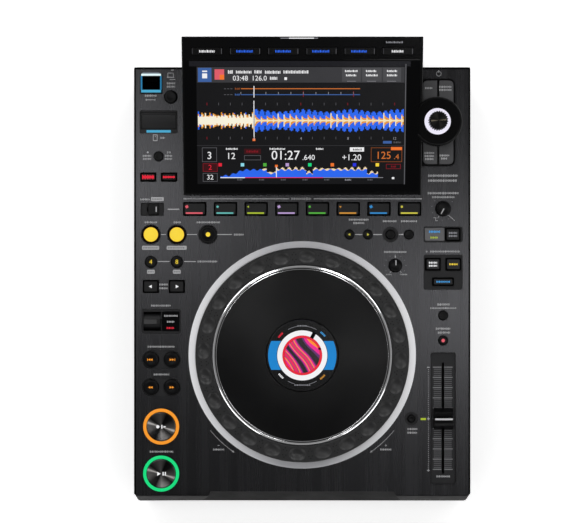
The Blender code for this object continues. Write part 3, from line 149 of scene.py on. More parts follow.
def make_brushed():
    """Long hairlines along the depth of the player, with broader soft bands."""
    tree, given, result = effect("Brushed grain", {"Across": 900.0, "Along": 9.0},
                                 ("Tone", "Height"))
    place = place_on(tree)
    size = add(tree, "CombineXYZ", X=given["Across"], Y=given["Along"], Z=given["Across"])
    stretched = add(tree, "Mapping", Vector=place, Scale=size.outputs[0]).outputs[0]
    hairs = add(tree, "TexNoise", Vector=stretched, Scale=1.0, Detail=5.0, Roughness=0.7)
    bands = add(tree, "TexNoise", Vector=stretched, Scale=0.13, Detail=2.0)
    mixed = maths(tree, "MULTIPLY_ADD", bands.outputs[0], 0.5,
                  maths(tree, "MULTIPLY", hairs.outputs[0], 0.5))
    feed(tree, result, Tone=mixed, Height=hairs.outputs[0])
    return tree


def make_moulded():
    """The fine pebble of a moulded surface, with faint marks of handling over it."""
    tree, given, result = effect("Moulded grain", {"Scale": 1400.0}, ("Tone", "Height"))
    place = place_on(tree)
    pebble = add(tree, "TexVoronoi", {"feature": "SMOOTH_F1"}, Vector=place,
                 Scale=given["Scale"]).outputs["Distance"]
    fine = add(tree, "TexNoise", Vector=place, Scale=given["Scale"], Detail=3.0).outputs[0]
    marks = add(tree, "TexNoise", Vector=place, Scale=38.0, Detail=4.0, Roughness=0.65)
    tone = maths(tree, "MULTIPLY_ADD", marks.outputs[0], 0.7, maths(tree, "MULTIPLY", fine, 0.3))
    feed(tree, result, Tone=tone, Height=maths(tree, "ADD", pebble, fine))
    return tree


def make_polar():
    """The distance and the direction of a point from an upright axis."""
    tree, given, result = effect("Round an axis", {"X": 0.0, "Y": 0.0}, ("Distance", "Turn"))
    place = place_on(tree)
    parts = add(tree, "SeparateXYZ", Vector=place).outputs
    across = maths(tree, "SUBTRACT", parts["X"], given["X"])
    along = maths(tree, "SUBTRACT", parts["Y"], given["Y"])
    squares = maths(tree, "ADD", maths(tree, "MULTIPLY", across, across),
                    maths(tree, "MULTIPLY", along, along))
    reach = maths(tree, "SQRT", squares)
    turn = maths(tree, "DIVIDE", maths(tree, "ARCTAN2", along, across), 2 * math.pi)
    feed(tree, result, Distance=reach, Turn=maths(tree, "ADD", turn, 0.5))
    return tree


BRUSHED, MOULDED, POLAR = make_brushed(), make_moulded(), make_polar()
print("groups:", [tree.name for tree in bpy.data.node_groups])


# %% [markdown]
# ## One recipe for most finishes
# Most surfaces of such a player differ in colour, gloss and grain, and are made in the
# same way: a grain shifts the colour and the roughness a little, and a Bump node turns
# its height into a normal. Lit caps are the same plastic with an emission added.

# %% The recipe
def tints(code, darker, brighter):
    """A colour multiplied by each of two factors."""
    return [(*[min(1.0, part * factor) for part in ink(code)[:3]], 1.0)
            for factor in (darker, brighter)]


def surface(name, code, roughness, metallic=0.0, grain=MOULDED, shift=0.18, bump=0.08,
            lit=None, strength=1.0, specular=0.5):
    material, tree, shader = new_material(name)
    effects = add(tree, "Group", {"node_tree": grain}).outputs
    tone = effects["Tone"]
    mixed = blend(tree, tone, *tints(code, 1 - shift, 1 + shift))
    gloss = add(tree, "MapRange", Value=tone, i1=0.2, i2=0.8, i3=roughness * 0.8,
                i4=min(1.0, roughness * 1.2))
    relief = add(tree, "Bump", Strength=bump, Distance=0.05 * MM, Height=effects["Height"])
    feed(tree, shader, Base_Color=mixed, Roughness=gloss.outputs[0], Normal=relief.outputs[0],
         Metallic=metallic, Specular_IOR_Level=specular)
    if lit:
        feed(tree, shader, Emission_Color=blend(tree, tone, *tints(lit, 0.86, 1.1)),
             Emission_Strength=strength)
    return material


BLACK_PLASTIC = surface("black plastic", "050506", 0.32, shift=0.3, specular=0.14)
GLOSS_BLACK = surface("gloss black", "050506", 0.06, bump=0.0, specular=0.3)
CAVITY = surface("dark cavity", "020202", 0.9, shift=0.2, bump=0.02, specular=0.05)
RUBBER = surface("rubber", "1b1b1c", 0.72, shift=0.3, bump=0.25, specular=0.25)
CHROME = surface("polished metal", "e8e8ea", 0.12, 1.0, shift=0.04, bump=0.02)
SATIN_SILVER = surface("satin silver", "d9d9dc", 0.38, 0.25, shift=0.05, bump=0.03)
PRINT = surface("light grey print", "bcbcbe", 0.55, shift=0.12, bump=0.02)
LIT = {word: surface("lit " + word, "0a0a0a", 0.35, lit=code, bump=0.02, shift=0.1, specular=0.2)
       for word, code in {
           "white": "f2f2f4", "yellow": "ffd83a", "orange": "ff9a2a", "green": "12dd80",
           "red": "e62038", "rose": "dd5a68", "teal": "5fb5b0", "lime": "a5b82a",
           "lilac": "b79ad0", "leaf": "4fae3a", "amber": "c98a30", "blue": "2a86c8",
           "gold": "c8c040", "sky": "3c9be0", "cyan": "8fdcee", "cream": "f7dcb0",
           "dim": "3a3a3e", "haze": "8c8c92", "ice": "e4fbff", "pool": "46a6cc",
           "water": "1c78a6", "block": "1282cc", "glow": "7c8c98", "afterglow": "54585e"}.items()}
print(len(bpy.data.materials), "finishes so far")

# %% [markdown]
# ## Modelling moves
# A new piece starts as a primitive and is shaped in edit mode. These helpers wrap the
# moves that come back: choose faces by their place, shape a top by insets, spin a
# profile round an axis, round the corners of a block, and give a piece its finish. Sizes
# and places are given to them in millimetres.


# %% Select, name and finish
def close():
    """Leave edit mode."""
    if bpy.context.mode != "OBJECT":
        bpy.ops.object.mode_set(mode="OBJECT")


def deselect():
    close()
    bpy.ops.object.select_all(action="DESELECT")


def pick(piece):
    """Make a piece the only one selected, and the active one."""
    deselect()
    bpy.context.view_layer.objects.active = piece
    piece.select_set(True)


def named(name):
    """The piece just added, named, with its place applied, so its origin is at zero."""
    piece = bpy.context.active_object
    piece.name = name
    bpy.ops.object.transform_apply(location=True, rotation=True, scale=True)
    return piece


def edit(piece, test, kind="FACE"):
    """Open a piece in edit mode, with what passes the test selected."""
    pick(piece)
    bpy.ops.object.mode_set(mode="EDIT")
    bpy.ops.mesh.select_mode(type=kind)
    bpy.ops.mesh.select_all(action="DESELECT")
    mesh = bmesh.from_edit_mesh(piece.data)
    for item in {"FACE": mesh.faces, "EDGE": mesh.edges, "VERT": mesh.verts}[kind]:
        item.select_set(bool(test(item)))
    bmesh.update_edit_mesh(piece.data)


def paint(piece, *surfaces, chosen=()):
    """Give a piece its materials; chosen holds tests of a face's middle, in millimetres,
    and its normal. A face that passes a test takes the next material."""
    piece.data.materials.clear()
    for material in surfaces:
        piece.data.materials.append(material)
    for face in piece.data.polygons:
        for index, test in enumerate(chosen):
            if test(face.center / MM, face.normal):
                face.material_index = index + 1
    return piece


def fit(piece, body, *replaced, angle=32):
    """Smooth a finished piece, let it ride on its body and stand for its solids."""
    pick(piece)
    bpy.ops.object.shade_smooth_by_angle(angle=math.radians(angle))
    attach(piece, body)
    if replaced:
        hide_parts(*replaced)
    return piece


print("selection tools ready")

# %% [markdown]
# A turned piece is one point, extruded along its profile and spun. A block is a cube whose
# top is stepped by insets, and whose upright edges are rounded last.


# %% Turned, rounded and stepped shapes
def turn(name, profile, centre=(0.0, 0.0), steps=96, sweep=360.0, start=0.0):
    """Spin a line of (radius, height) points round an upright axis."""
    deselect()
    x, y = (place * MM for place in centre)
    profile = [(radius * MM, height * MM) for radius, height in profile]
    bpy.ops.mesh.primitive_plane_add(size=MM, location=(0, 0, 0))
    piece = named(name)
    bpy.ops.object.mode_set(mode="EDIT")
    bpy.ops.mesh.select_mode(type="VERT")
    bpy.ops.mesh.select_all(action="SELECT")
    bpy.ops.mesh.merge(type="CENTER")
    bpy.ops.transform.translate(value=(x + profile[0][0], y, profile[0][1]))
    for (radius, height), (next_radius, next_height) in zip(profile, profile[1:]):
        step = (next_radius - radius, 0.0, next_height - height)
        bpy.ops.mesh.extrude_vertices_move(TRANSFORM_OT_translate={"value": step})
    bpy.ops.mesh.select_all(action="SELECT")
    if start:
        bpy.ops.transform.rotate(value=-math.radians(start), orient_axis="Z",
                                 center_override=(x, y, 0.0))
    bpy.ops.mesh.spin(steps=steps, angle=math.radians(sweep), center=(x, y, 0.0),
                      axis=(0, 0, 1))
    bpy.ops.mesh.select_all(action="SELECT")
    bpy.ops.mesh.remove_doubles(threshold=0.004 * MM)
    if sweep < 360:
        bpy.ops.mesh.fill_holes(sides=0)
        bpy.ops.mesh.select_all(action="SELECT")
    bpy.ops.mesh.normals_make_consistent(inside=False)
    close()
    return piece


def block(name, centre, size, low, high, corner, steps=()):
    """A block in millimetres whose top is shaped by insets, each so far inwards and up.
    Then the edges that run up its corners are rounded together."""
    deselect()
    bpy.ops.mesh.primitive_cube_add(
        size=1, location=(centre[0] * MM, centre[1] * MM, (low + high) / 2 * MM),
        scale=(size[0] * MM, size[1] * MM, (high - low) * MM))
    piece = named(name)
    edit(piece, lambda face: face.normal.z > 0.9)
    for inwards, rise in steps:
        bpy.ops.mesh.inset(thickness=inwards * MM, depth=rise * MM)
    close()

    def at_corner(edge):
        run = edge.verts[0].co - edge.verts[1].co
        return (abs(run.x) > 1e-6) == (abs(run.y) > 1e-6)
    edit(piece, at_corner, "EDGE")
    bpy.ops.mesh.bevel(offset=corner * MM, segments=4, affect="EDGES")
    close()
    return piece


def join(name, pieces):
    deselect()
    for piece in pieces:
        piece.select_set(True)
    bpy.context.view_layer.objects.active = pieces[0]
    if len(pieces) > 1:
        bpy.ops.object.join()
    pieces[0].name = name
    return pieces[0]


print("shaping tools ready")

# %% [markdown]
# Print and lit signs are thin bars, triangles and discs, many to a mesh. A matrix, where
# one is given, lays them on the tilted screen, the rear wall or the underside.


# %% Marks and numerals
FONT_SIZE = 1.38     # size of the font for numerals of height 1


def polar(centre, radius, turned):
    """A point at a distance from a centre, so many degrees from the X axis."""
    angle = math.radians(turned)
    return centre[0] + radius * math.cos(angle), centre[1] + radius * math.sin(angle)


def marks(name, rows, material, body="case", height=PLATE, thick=0.08, matrix=None):
    """Flat marks, printed or lit. A row holds sides, x, y, width, depth and a turn in
    degrees; four sides make a bar, three a triangle whose tip points to the rear."""
    deselect()
    for index, (sides, x, y, width, depth, *angle) in enumerate(rows):
        place = {"location": (x * MM, y * MM, (height + thick / 2) * MM),
                 "rotation": (0, 0, math.radians(angle[0] if angle else 0)),
                 "scale": (width * MM, depth * MM, thick * MM)}
        if sides == 4:
            bpy.ops.mesh.primitive_cube_add(size=1, **place)
        else:
            bpy.ops.mesh.primitive_cylinder_add(vertices=sides, radius=0.5, depth=1, **place)
        if index == 0:
            piece = named(name)
            bpy.ops.object.mode_set(mode="EDIT")
    close()
    return settle(piece, material, body, matrix)


def settle(piece, material, body, matrix=None):
    if matrix:
        piece.data.transform(matrix)
    if not piece.data.materials:
        piece.data.materials.append(material)
    return fit(piece, body)


def numerals(name, rows, material, body, height, thick=0.08, matrix=None):
    """Plain numerals; a row holds the characters, x, y and their height."""
    made = []
    for text, x, y, size in rows:
        deselect()
        bpy.ops.object.text_add(location=(x * MM, y * MM, (height + thick / 2) * MM))
        letters = bpy.context.active_object
        letters.data.body = text
        letters.data.size = size * MM * FONT_SIZE
        letters.data.align_x, letters.data.align_y = "CENTER", "CENTER"
        letters.data.extrude = thick / 2 * MM
        letters.data.resolution_u = 4
        bpy.ops.object.convert(target="MESH")
        made.append(named(name))
    return settle(join(name, made), material, body, matrix)


print("marks ready")

# %% [markdown]
# ## The jog wheel
# The jog wheel is the heart of the player: a satin light ring on the plate, a rubber
# dial with 24 finger dimples, a chrome bevel, and a grooved platter. All are turned
# shapes, so each is a profile spun round the hub. The ring carries a painted sheen: a
# white emission, strongest at its left and right. The dimples are flattened balls set
# round the dial and cut out with one Boolean, as a mould would press them.

# %% Light ring, dial and dimples
DIMPLES = 24
DIMPLE_REACH = 95.9  # from the axis to the middle of a dimple

ring = turn("jog_light_ring_rim", (
    (104.4, 76.0), (104.4, 82.2), (104.9, 82.7), (110.3, 82.7), (111.0, 82.0), (111.0, 80.3),
    (106.9, 80.3), (106.9, 76.0), (104.4, 76.0)), JOG, 256)
lens = surface("ring painted sheen", "c2c2c6", 0.3, shift=0.04, bump=0.02, lit="ffffff", strength=0.35)
tree = lens.node_tree
# Painted sheen: the emission rises with the distance across from the hub's middle line, so the
# ring's left and right look lit.
across = add(tree, "SeparateXYZ", Vector=place_on(tree)).outputs["X"]
glow = add(tree, "MapRange", Value=maths(tree, "ABSOLUTE", across), i1=20 * MM, i2=108 * MM,
           i3=0.0, i4=1.0).outputs[0]
feed(tree, tree.nodes["Principled BSDF"],
     Emission_Color=blend(tree, glow, (0, 0, 0, 1), (1, 1, 1, 1)))
fit(paint(ring, lens), "case", "jog_light_ring")

dial = turn("jog_dial_rubber", (
    (88.05, 79.5), (88.05, 88.6), (88.5, 89.4), (89.3, 90.0), (102.6, 90.0), (103.5, 89.3),
    (104.05, 88.2), (104.05, 76.5), (98.0, 76.5), (98.0, 79.5), (88.05, 79.5)), JOG, 288)
balls = []
for number in range(DIMPLES):
    deselect()
    turned = 2.8 + 360 / DIMPLES * number
    x, y = polar(JOG, DIMPLE_REACH, 90 - turned)
    bpy.ops.mesh.primitive_uv_sphere_add(
        segments=40, ring_count=24, radius=9.0 * MM, location=(x * MM, y * MM, 90.9 * MM),
        rotation=(0, 0, -math.radians(turned)), scale=(1, 0.8, 0.36))
    balls.append(named(f"ball_{number}"))
ball = join("dimple_balls", balls)
press = dial.modifiers.new("dimples", "BOOLEAN")
press.object, press.solver = ball, "EXACT"
pick(dial)
bpy.ops.object.modifier_apply(modifier="dimples")
bpy.data.objects.remove(ball)
paint(dial, surface("dial rubber", "1c1c1d", 0.5, shift=0.3, bump=0.2, specular=0.4),
      surface("pressed rubber", "1a1a1b", 0.4, shift=0.25, bump=0.15, specular=0.6),
      chosen=[lambda at, normal: 87.0 < at.z < 89.93
              and abs((at.xy - Vector(JOG)).length - DIMPLE_REACH) < 6.6])
fit(dial, "jog_wheel", "jog_dial", angle=24)
print("dial faces:", len(dial.data.polygons))

# %% [markdown]
# Between the dimples the rubber carries small raised dots, six to a gap, that tell the
# finger where it is. One recipe of places is turned round the dial.

# %% Dots on the dial
GAP_DOTS = ((91.2, 0.0), (93.4, -1.0), (93.4, 1.0), (98.2, -1.0), (98.2, 1.0), (100.4, 0.0))
dots = [(12, *polar(JOG, reach, 79.7 - 360 / DIMPLES * number - aside), 1.1, 1.1)
        for number in range(DIMPLES) for reach, aside in GAP_DOTS]
marks("jog_dial_dots", dots, BLACK_PLASTIC, "jog_wheel", 90.0, 0.12)
print(len(dots), "dots")

# %% [markdown]
# The platter is black plastic cut with fine grooves, like a record. The grooves are too
# fine to model, so they are a wave of the distance from the hub, used as relief. The same
# distance leaves a plain band at the rim, and the moulded grain varies tone and gloss.


# %% Grooved platter and chrome bevel
def make_grooved():
    material, tree, shader = new_material("grooved black")
    reach = add(tree, "Group", {"node_tree": POLAR}, X=JOG[0] * MM,
                Y=JOG[1] * MM).outputs["Distance"]
    wave = maths(tree, "SINE", maths(tree, "MULTIPLY", reach, 2 * math.pi / (0.9 * MM)))
    inside = maths(tree, "LESS_THAN", reach, 83.4 * MM)
    cut = maths(tree, "MULTIPLY", wave, inside)
    worn = add(tree, "Group", {"node_tree": MOULDED}, Scale=500.0).outputs["Tone"]
    mixed = blend(tree, worn, ink("020203"), ink("070708"))
    gloss = add(tree, "MapRange", Value=worn, i3=0.26, i4=0.40)
    relief = add(tree, "Bump", Strength=0.35, Distance=0.06 * MM, Height=cut)
    feed(tree, shader, Specular_IOR_Level=0.22, Base_Color=mixed, Roughness=gloss.outputs[0],
         Normal=relief.outputs[0])
    return material


platter = turn("jog_platter_disc", (
    (35.25, 81.3), (35.25, 89.0), (35.6, 89.4), (83.4, 89.4), (83.9, 89.15), (84.4, 89.4),
    (84.9, 89.4), (85.1, 89.0), (85.1, 81.3), (35.25, 81.3)), JOG, 256)
paint(platter, make_grooved(), CHROME,
      chosen=[lambda at, normal: 83.4 < (at.xy - Vector(JOG)).length < 83.95])
fit(platter, "jog_wheel", "jog_platter")
bevel = turn("jog_platter_bevel", (
    (85.1, 81.3), (85.1, 89.3), (85.2, 89.35), (86.0, 89.1), (86.9, 88.7), (87.6, 88.3),
    (87.75, 88.0), (87.75, 81.3), (85.1, 81.3)), JOG, 256)
paint(bevel, surface("bright rim", "fafafc", 0.1, 1.0, shift=0.03, bump=0.02))
fit(bevel, "jog_wheel")
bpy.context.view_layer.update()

# %% [markdown]
# ## The casing
# The upper case has a brushed metal face over moulded black sides. Its solid already has
# the recesses and key holes, so a copy is merged, its outer rims are rounded with a bevel,
# and each face takes the finish of its place. The display housing and the chassis are
# made the same way.

# %% Shells with rounded rims
BRUSHED_PLATE = surface("brushed plate", PLATE_GREY, 0.27, 0.9, grain=BRUSHED, shift=0.4,
                        bump=0.12)
RECESS_BLACK = surface("recess black", "1d1d1f", 0.5, shift=0.25, specular=0.3)
SIDE_BLACK = surface("textured side black", "0d0d0e", 0.5, shift=0.3, bump=0.2, specular=0.2)
LIP_BLACK = surface("satin lip", "0e0e0f", 0.62, shift=0.15, specular=0.06)
PIANO_BLACK = surface("piano black", "070708", 0.1, shift=0.2, bump=0.01, specular=0.35)
FACE = (Matrix.Translation((0, 76.5 * MM, 88.8 * MM))
        @ Matrix.Rotation(math.radians(11.02), 4, "X"))


def on_face(at):
    """A point as measured from the tilted face of the display, in millimetres."""
    return FACE.inverted() @ (at * MM) / MM


def shell(name, node, width, rim):
    """A merged copy of a solid, with the edges that lie on its rim rounded."""
    piece = bpy.data.objects.new(name, nodes[node].data.copy())
    bpy.context.scene.collection.objects.link(piece)
    edit(piece, lambda face: True)
    bpy.ops.mesh.remove_doubles(threshold=0.002 * MM)
    bpy.ops.mesh.dissolve_limited(angle_limit=math.radians(0.5))
    close()
    edit(piece, lambda edge: edge.calc_face_angle(0.0) > 0.5
         and all(rim(vert.co / MM) for vert in edge.verts), "EDGE")
    bpy.ops.mesh.bevel(offset=width * MM, segments=3, affect="EDGES")
    close()
    return piece


case = shell("upper_case_shell", "upper_case", 0.7, lambda at: (
    abs(at.x) > 164.4 or at.y < -213.1 or at.y > 201.7))
paint(case, SIDE_BLACK, BRUSHED_PLATE, RECESS_BLACK, LIP_BLACK, chosen=[
    lambda at, normal: normal.z > 0.9 and at.z > 79.7 and abs(at.x) < 164.0,
    lambda at, normal: 77.5 < at.z < 79.9 and abs(at.x) < 160,
    lambda at, normal: at.y < -213.3 and normal.y < -0.2])
fit(case, "case", "upper_case", angle=12)

housing = shell("display_housing_shell", "display_housing", 0.8, lambda at: (
    abs(on_face(at).z) < 0.02
    and (abs(at.x) > 115.4 or on_face(at).y > 152.7 or at.y < 76.6)))
paint(housing, PIANO_BLACK, RECESS_BLACK, chosen=[
    lambda at, normal: at.x > 115.6 and at.z < 88.2 and normal.z < 0.5])
fit(housing, "case", "display_housing", angle=12)
chassis = shell("chassis_shell", "bottom_chassis", 0.6, lambda at: (
    abs(at.x) > 164.4 or at.y < -226.4 or at.y > 201.7))
fit(paint(chassis, SIDE_BLACK), "case", "bottom_chassis", angle=12)
print("shells:", len(case.data.polygons), len(housing.data.polygons), len(chassis.data.polygons))

# %% [markdown]
# ## Round buttons
# A button cap is a profile spun round its own axis. The heights are counted from the top
# of its solid, so each cap stands exactly where the frame has it, and reaches down into
# the hole in the plate. Rings of the cap take their own finish: lit, black, or spun metal
# with a painted reflection.


# %% Caps that turn round an axis
def spot(node):
    """The middle of a solid's box seen from above, and its top."""
    low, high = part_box(node)
    return ((low.x + high.x) / 2 / MM, (low.y + high.y) / 2 / MM), high.z / MM


def cap(node, profile, *surfaces, rings=(), steps=64, foot=77.0):
    """A round cap; rings holds the inner and outer radius of each further finish."""
    (x, y), top = spot(node)
    points = [(radius, top + rise) for radius, rise in profile]
    points += [(profile[-1][0], foot), (0.0, foot)]
    piece = turn(node + "_cap", points, (x, y), steps)
    return fit(paint(piece, *surfaces, chosen=[
        lambda at, normal, inner=inner, outer=outer:
        inner < (at.xy - Vector((x, y))).length < outer and at.z > top - 2.2
        for inner, outer in rings]), node, node)


def spun_metal_painted_sheen(name, node, dark, light, bright, sheen_offset=0.11):
    """Turned metal with a painted reflection: two bright sectors and two dark ones are painted
    into its colour round the axis.
    """
    material = surface(name, dark, 0.3, 0.85, shift=0.1, bump=0.02)
    tree = material.node_tree
    (x, y), _ = spot(node)
    axis = add(tree, "Group", {"node_tree": POLAR}, X=x * MM, Y=y * MM).outputs
    turned = maths(tree, "FRACT", maths(tree, "MULTIPLY_ADD", axis["Turn"], 2.0, sheen_offset))
    # Painted reflection: a colour ramp over the direction round the axis gives the bright and dark
    # sectors; sheen_offset turns the bright line.
    painted_sheen = add(tree, "ValToRGB", Fac=turned).outputs[0]
    stops = tree.nodes[-1].color_ramp.elements
    for place, code in ((0.02, bright), (0.06, light), (0.3, dark), (0.47, "0c0c0d"),
                        (0.62, light), (0.9, dark), (0.97, light)):
        stop = stops.new(place)
        stop.color = ink(code)
    stops[0].color = stops[-1].color = ink(bright)
    lathe = maths(tree, "SINE",
                  maths(tree, "MULTIPLY", axis["Distance"], 2 * math.pi / (0.35 * MM)))
    feed(tree, tree.nodes["Principled BSDF"], Base_Color=painted_sheen)
    feed(tree, tree.nodes["Bump"], Height=lathe)
    return material


BIG_CAP = [(0, -0.25), (12.9, -0.25), (13.5, 0.0), (13.9, -0.1), (14.1, -0.5), (14.15, -1.4),
           (14.45, -1.4), (14.55, -1.0), (15.1, -0.8), (17.0, -0.8), (17.5, -1.1), (17.6, -1.6)]
# Cue and play have spun metal tops with a painted reflection.
for node, lit in (("cue_button", "orange"), ("play_button", "green")):
    spun = spun_metal_painted_sheen("spun " + node, node, "1c1b1b", "6c6a69", "f0ece8")
    cap(node, BIG_CAP, BLACK_PLASTIC, spun, LIT[lit], rings=[(0, 13.95), (14.47, 17.55)],
        steps=96)
print("cue and play at", spot("cue_button")[0], spot("play_button")[0])

# %% [markdown]
# The smaller buttons share a domed profile, scaled by the radius. The loop buttons have a
# lit yellow top, and a dark ring on the plate round them.

# %% Loop, search and small buttons
YELLOW_CAP = [(0, 0), (4.4, -0.06), (6.3, -0.3), (6.8, -0.75), (6.9, -1.3), (7.15, -1.3),
              (7.3, -0.6), (7.7, -0.4), (8.6, -0.45), (8.9, -0.9)]
RELOOP_CAP = [(0, -0.35), (2.2, -0.35), (2.25, -0.15), (3.6, -0.05), (4.7, -0.5), (5.0, -1.0),
              (5.6, -1.0), (6.2, -0.3), (8.0, -0.3), (8.6, -0.9)]
DOMES = {"track_back_button": 7.8, "track_forward_button": 7.8, "search_back_button": 7.8,
         "search_forward_button": 7.8, "media_stop_button": 6.5, "beat_loop_short_button": 5.9,
         "beat_loop_long_button": 5.9, "call_back_button": 4.8, "call_forward_button": 4.8,
         "delete_button": 4.8, "memory_button": 4.8, "tempo_range_button": 4.8,
         "time_mode_button": 4.8, "tempo_reset_button": 3.8}
for node in ("loop_in_button", "loop_out_button"):
    cap(node, YELLOW_CAP, CAVITY, LIT["yellow"], LIT["amber"], rings=[(0, 6.87), (6.9, 7.15)])
cap("reloop_button", RELOOP_CAP, BLACK_PLASTIC, LIT["yellow"], rings=[(0, 2.2)])
for node, inner in (("loop_in_button", 9.3), ("loop_out_button", 9.3), ("reloop_button", 9.0)):
    rim = turn(node + "_rim", ((inner, PLATE), (inner + 0.5, PLATE), (inner + 0.5, PLATE + 0.06),
                               (inner, PLATE + 0.06), (inner, PLATE)), spot(node)[0], 64)
    fit(paint(rim, CAVITY), "case")
for node, radius in DOMES.items():
    cap(node, [(0, -0.3), (radius * 0.45, -0.22), (radius * 0.72, 0.0), (radius * 0.86, -0.15),
               (radius * 0.95, -0.6), (radius, -1.3)], BLACK_PLASTIC, steps=48)
cap("master_tempo_button", [(0, -0.25), (1.7, -0.3), (1.75, -0.1), (3.4, 0.0), (4.2, -0.2),
                            (4.6, -0.6), (4.8, -1.3)], BLACK_PLASTIC, LIT["rose"],
    rings=[(0, 1.72)], steps=48)
print(len(DOMES) + 4, "round buttons")

# %% [markdown]
# ## Keys
# A key is a block with rounded upright edges. Insets step its top: a chamfer, a black rim,
# a fine groove and a slightly raised face in grey.

# %% Rectangular keys
KEY_FACE = surface("key face", "171718", 0.46, shift=0.15, specular=0.25)
SYNC_FACE = surface("sync key face", "242426", 0.46, shift=0.15, specular=0.25)
KEY_STEPS = [(0.4, 0.4), (0.75, 0.0), (0.12, -0.2), (0.18, 0.3)]
KEYS = {"beat_jump_back_key": (15.4, 12.4), "beat_jump_forward_key": (15.4, 12.4),
        "red_key_left": (15.4, 8.6), "red_key_right": (15.4, 8.6), "jog_mode_key": (14.7, 12.8),
        "beat_sync_key": (14.9, 12.0), "master_key": (14.9, 12.0), "key_sync_key": (20.8, 7.8)}
KEYS.update({f"hot_cue_{number}_key": (22.4, 13.1) for number in range(1, 9)})
SYNC_KEYS = ("beat_sync_key", "master_key", "key_sync_key")
for node, (width, depth) in KEYS.items():
    (x, y), top = spot(node)
    piece = block(node + "_cap", (x, y), (width, depth), 77.0, top - 0.5, 0.9, KEY_STEPS)
    face = BLACK_PLASTIC if "red_key" in node else SYNC_FACE if node in SYNC_KEYS else KEY_FACE
    fit(paint(piece, CAVITY, face, chosen=[
        lambda at, normal: normal.z > 0.5 and abs(at.x - x) < width / 2 - 1.3
        and abs(at.y - y) < depth / 2 - 1.3]), node, node)
print(len(KEYS), "keys")

# %% [markdown]
# The two knobs are turned cones. Every second face of the skirt is pushed in a little,
# which gives the finger grooves, and a white pointer lies on top.


# %% Knobs with grooves
def grooved(piece, centre, bottom, top, depth, count):
    """Push in every second face of a turned side."""
    def chosen(face):
        at = face.calc_center_median()
        turned = math.atan2(at.y - centre[1] * MM, at.x - centre[0] * MM) / (2 * math.pi) * count
        return (bottom * MM < at.z < top * MM and abs(face.normal.z) < 0.6
                and int(math.floor(turned)) % 2 == 0)
    edit(piece, chosen)
    bpy.ops.mesh.inset(thickness=0.0, depth=-depth * MM, use_individual=True)
    close()


for node, radius, angle in (("jog_adjust_knob", 6.8, 0), ("speed_adjust_knob", 7.7, -208)):
    knob = cap(node, [(0, -0.2), (radius - 2.0, -0.2), (radius - 1.6, 0), (radius - 1.1, -0.5),
                      (radius - 0.7, -6.5), (radius - 0.2, -8.2), (radius, -8.6), (radius, -9.5)],
               BLACK_PLASTIC, steps=72)
    centre, top = spot(node)
    grooved(knob, centre, 84, 88, 0.3, 72)
    marks(node + "_pointer", [(4, *polar(centre, radius / 2 - 0.6, 90 + angle), 1.0,
                               radius - 1.6, angle)], PRINT, node, top - 0.2, 0.12)
print("knobs turned")

# %% [markdown]
# ## Lever, slide switch and fader
# These keep the form of their solids, which were drawn for them. A merged copy gets its
# hard edges rounded. The lever carries a grey ridge, the slide knob and the fader cap a
# pale line.

# %% Lever, slide knob, fader cap
lever = shell("direction_lever_rocker", "direction_lever", 0.5, lambda at: at.z > 79.0)
paint(lever, RECESS_BLACK, KEY_FACE, chosen=[lambda at, normal: at.z > 79.5])
fit(lever, "direction_lever", "direction_lever", angle=12)
(x, y), top = spot("direction_lever")
marks("direction_lever_ridge", [(4, x - 1.4, y, 12.4, 4.4)],
      surface("ridge grey", "323233", 0.5, shift=0.1), "direction_lever", top - 0.24, 0.3)
for name, node, width, above in (("slide_switch_knob", "slide_switch", 0.4, 81.5),
                                 ("fader_cap_grip", "fader_cap", 0.25, 80.0)):
    piece = shell(name, node, width, lambda at: at.z > above)
    fit(paint(piece, BLACK_PLASTIC), node, node, angle=12)
marks("slide_switch_line", [(4, -142.6, 62.8, 1.1, 5.0)], PRINT, "slide_switch",
      spot("slide_switch")[1])
(x, y), top = spot("fader_cap")
marks("fader_cap_line", [(4, x, y, 17.2, 1.7)], SATIN_SILVER, "fader_cap", top)
print("fader cap top", round(top, 1))

# %% [markdown]
# ## Print on the plate
# Labels are printed in light grey. No words are copied: where a label stands, a row of
# short bars of changing width stands for it, and the signs are plain shapes. Each row of
# numbers is sides, place and size, and one mesh holds all the marks of one colour.


# %% Rows of print
def bars(left, right, widths, gap, least):
    """Number, start and width of each short bar in a row."""
    at, step = left, 0
    while at < right - least:
        width = min(widths[step % len(widths)], right - at)
        yield step, at, width
        at += width + gap
        step += 1


def words(left, right, y, size=1.9):
    """Short bars that fill a label's place."""
    return [(4, at + width / 2, y, width, size * (1.0, 0.75, 0.95, 0.6)[step % 4])
            for step, at, width in bars(left, right, (0.9, 0.55, 1.15, 0.6, 0.8), 0.42, 0.4)]


def strips(*lines):
    """Lines from left to right, each at its place along Y and so thick."""
    return [(4, (left + right) / 2, y, right - left, depth) for left, right, y, depth in lines]


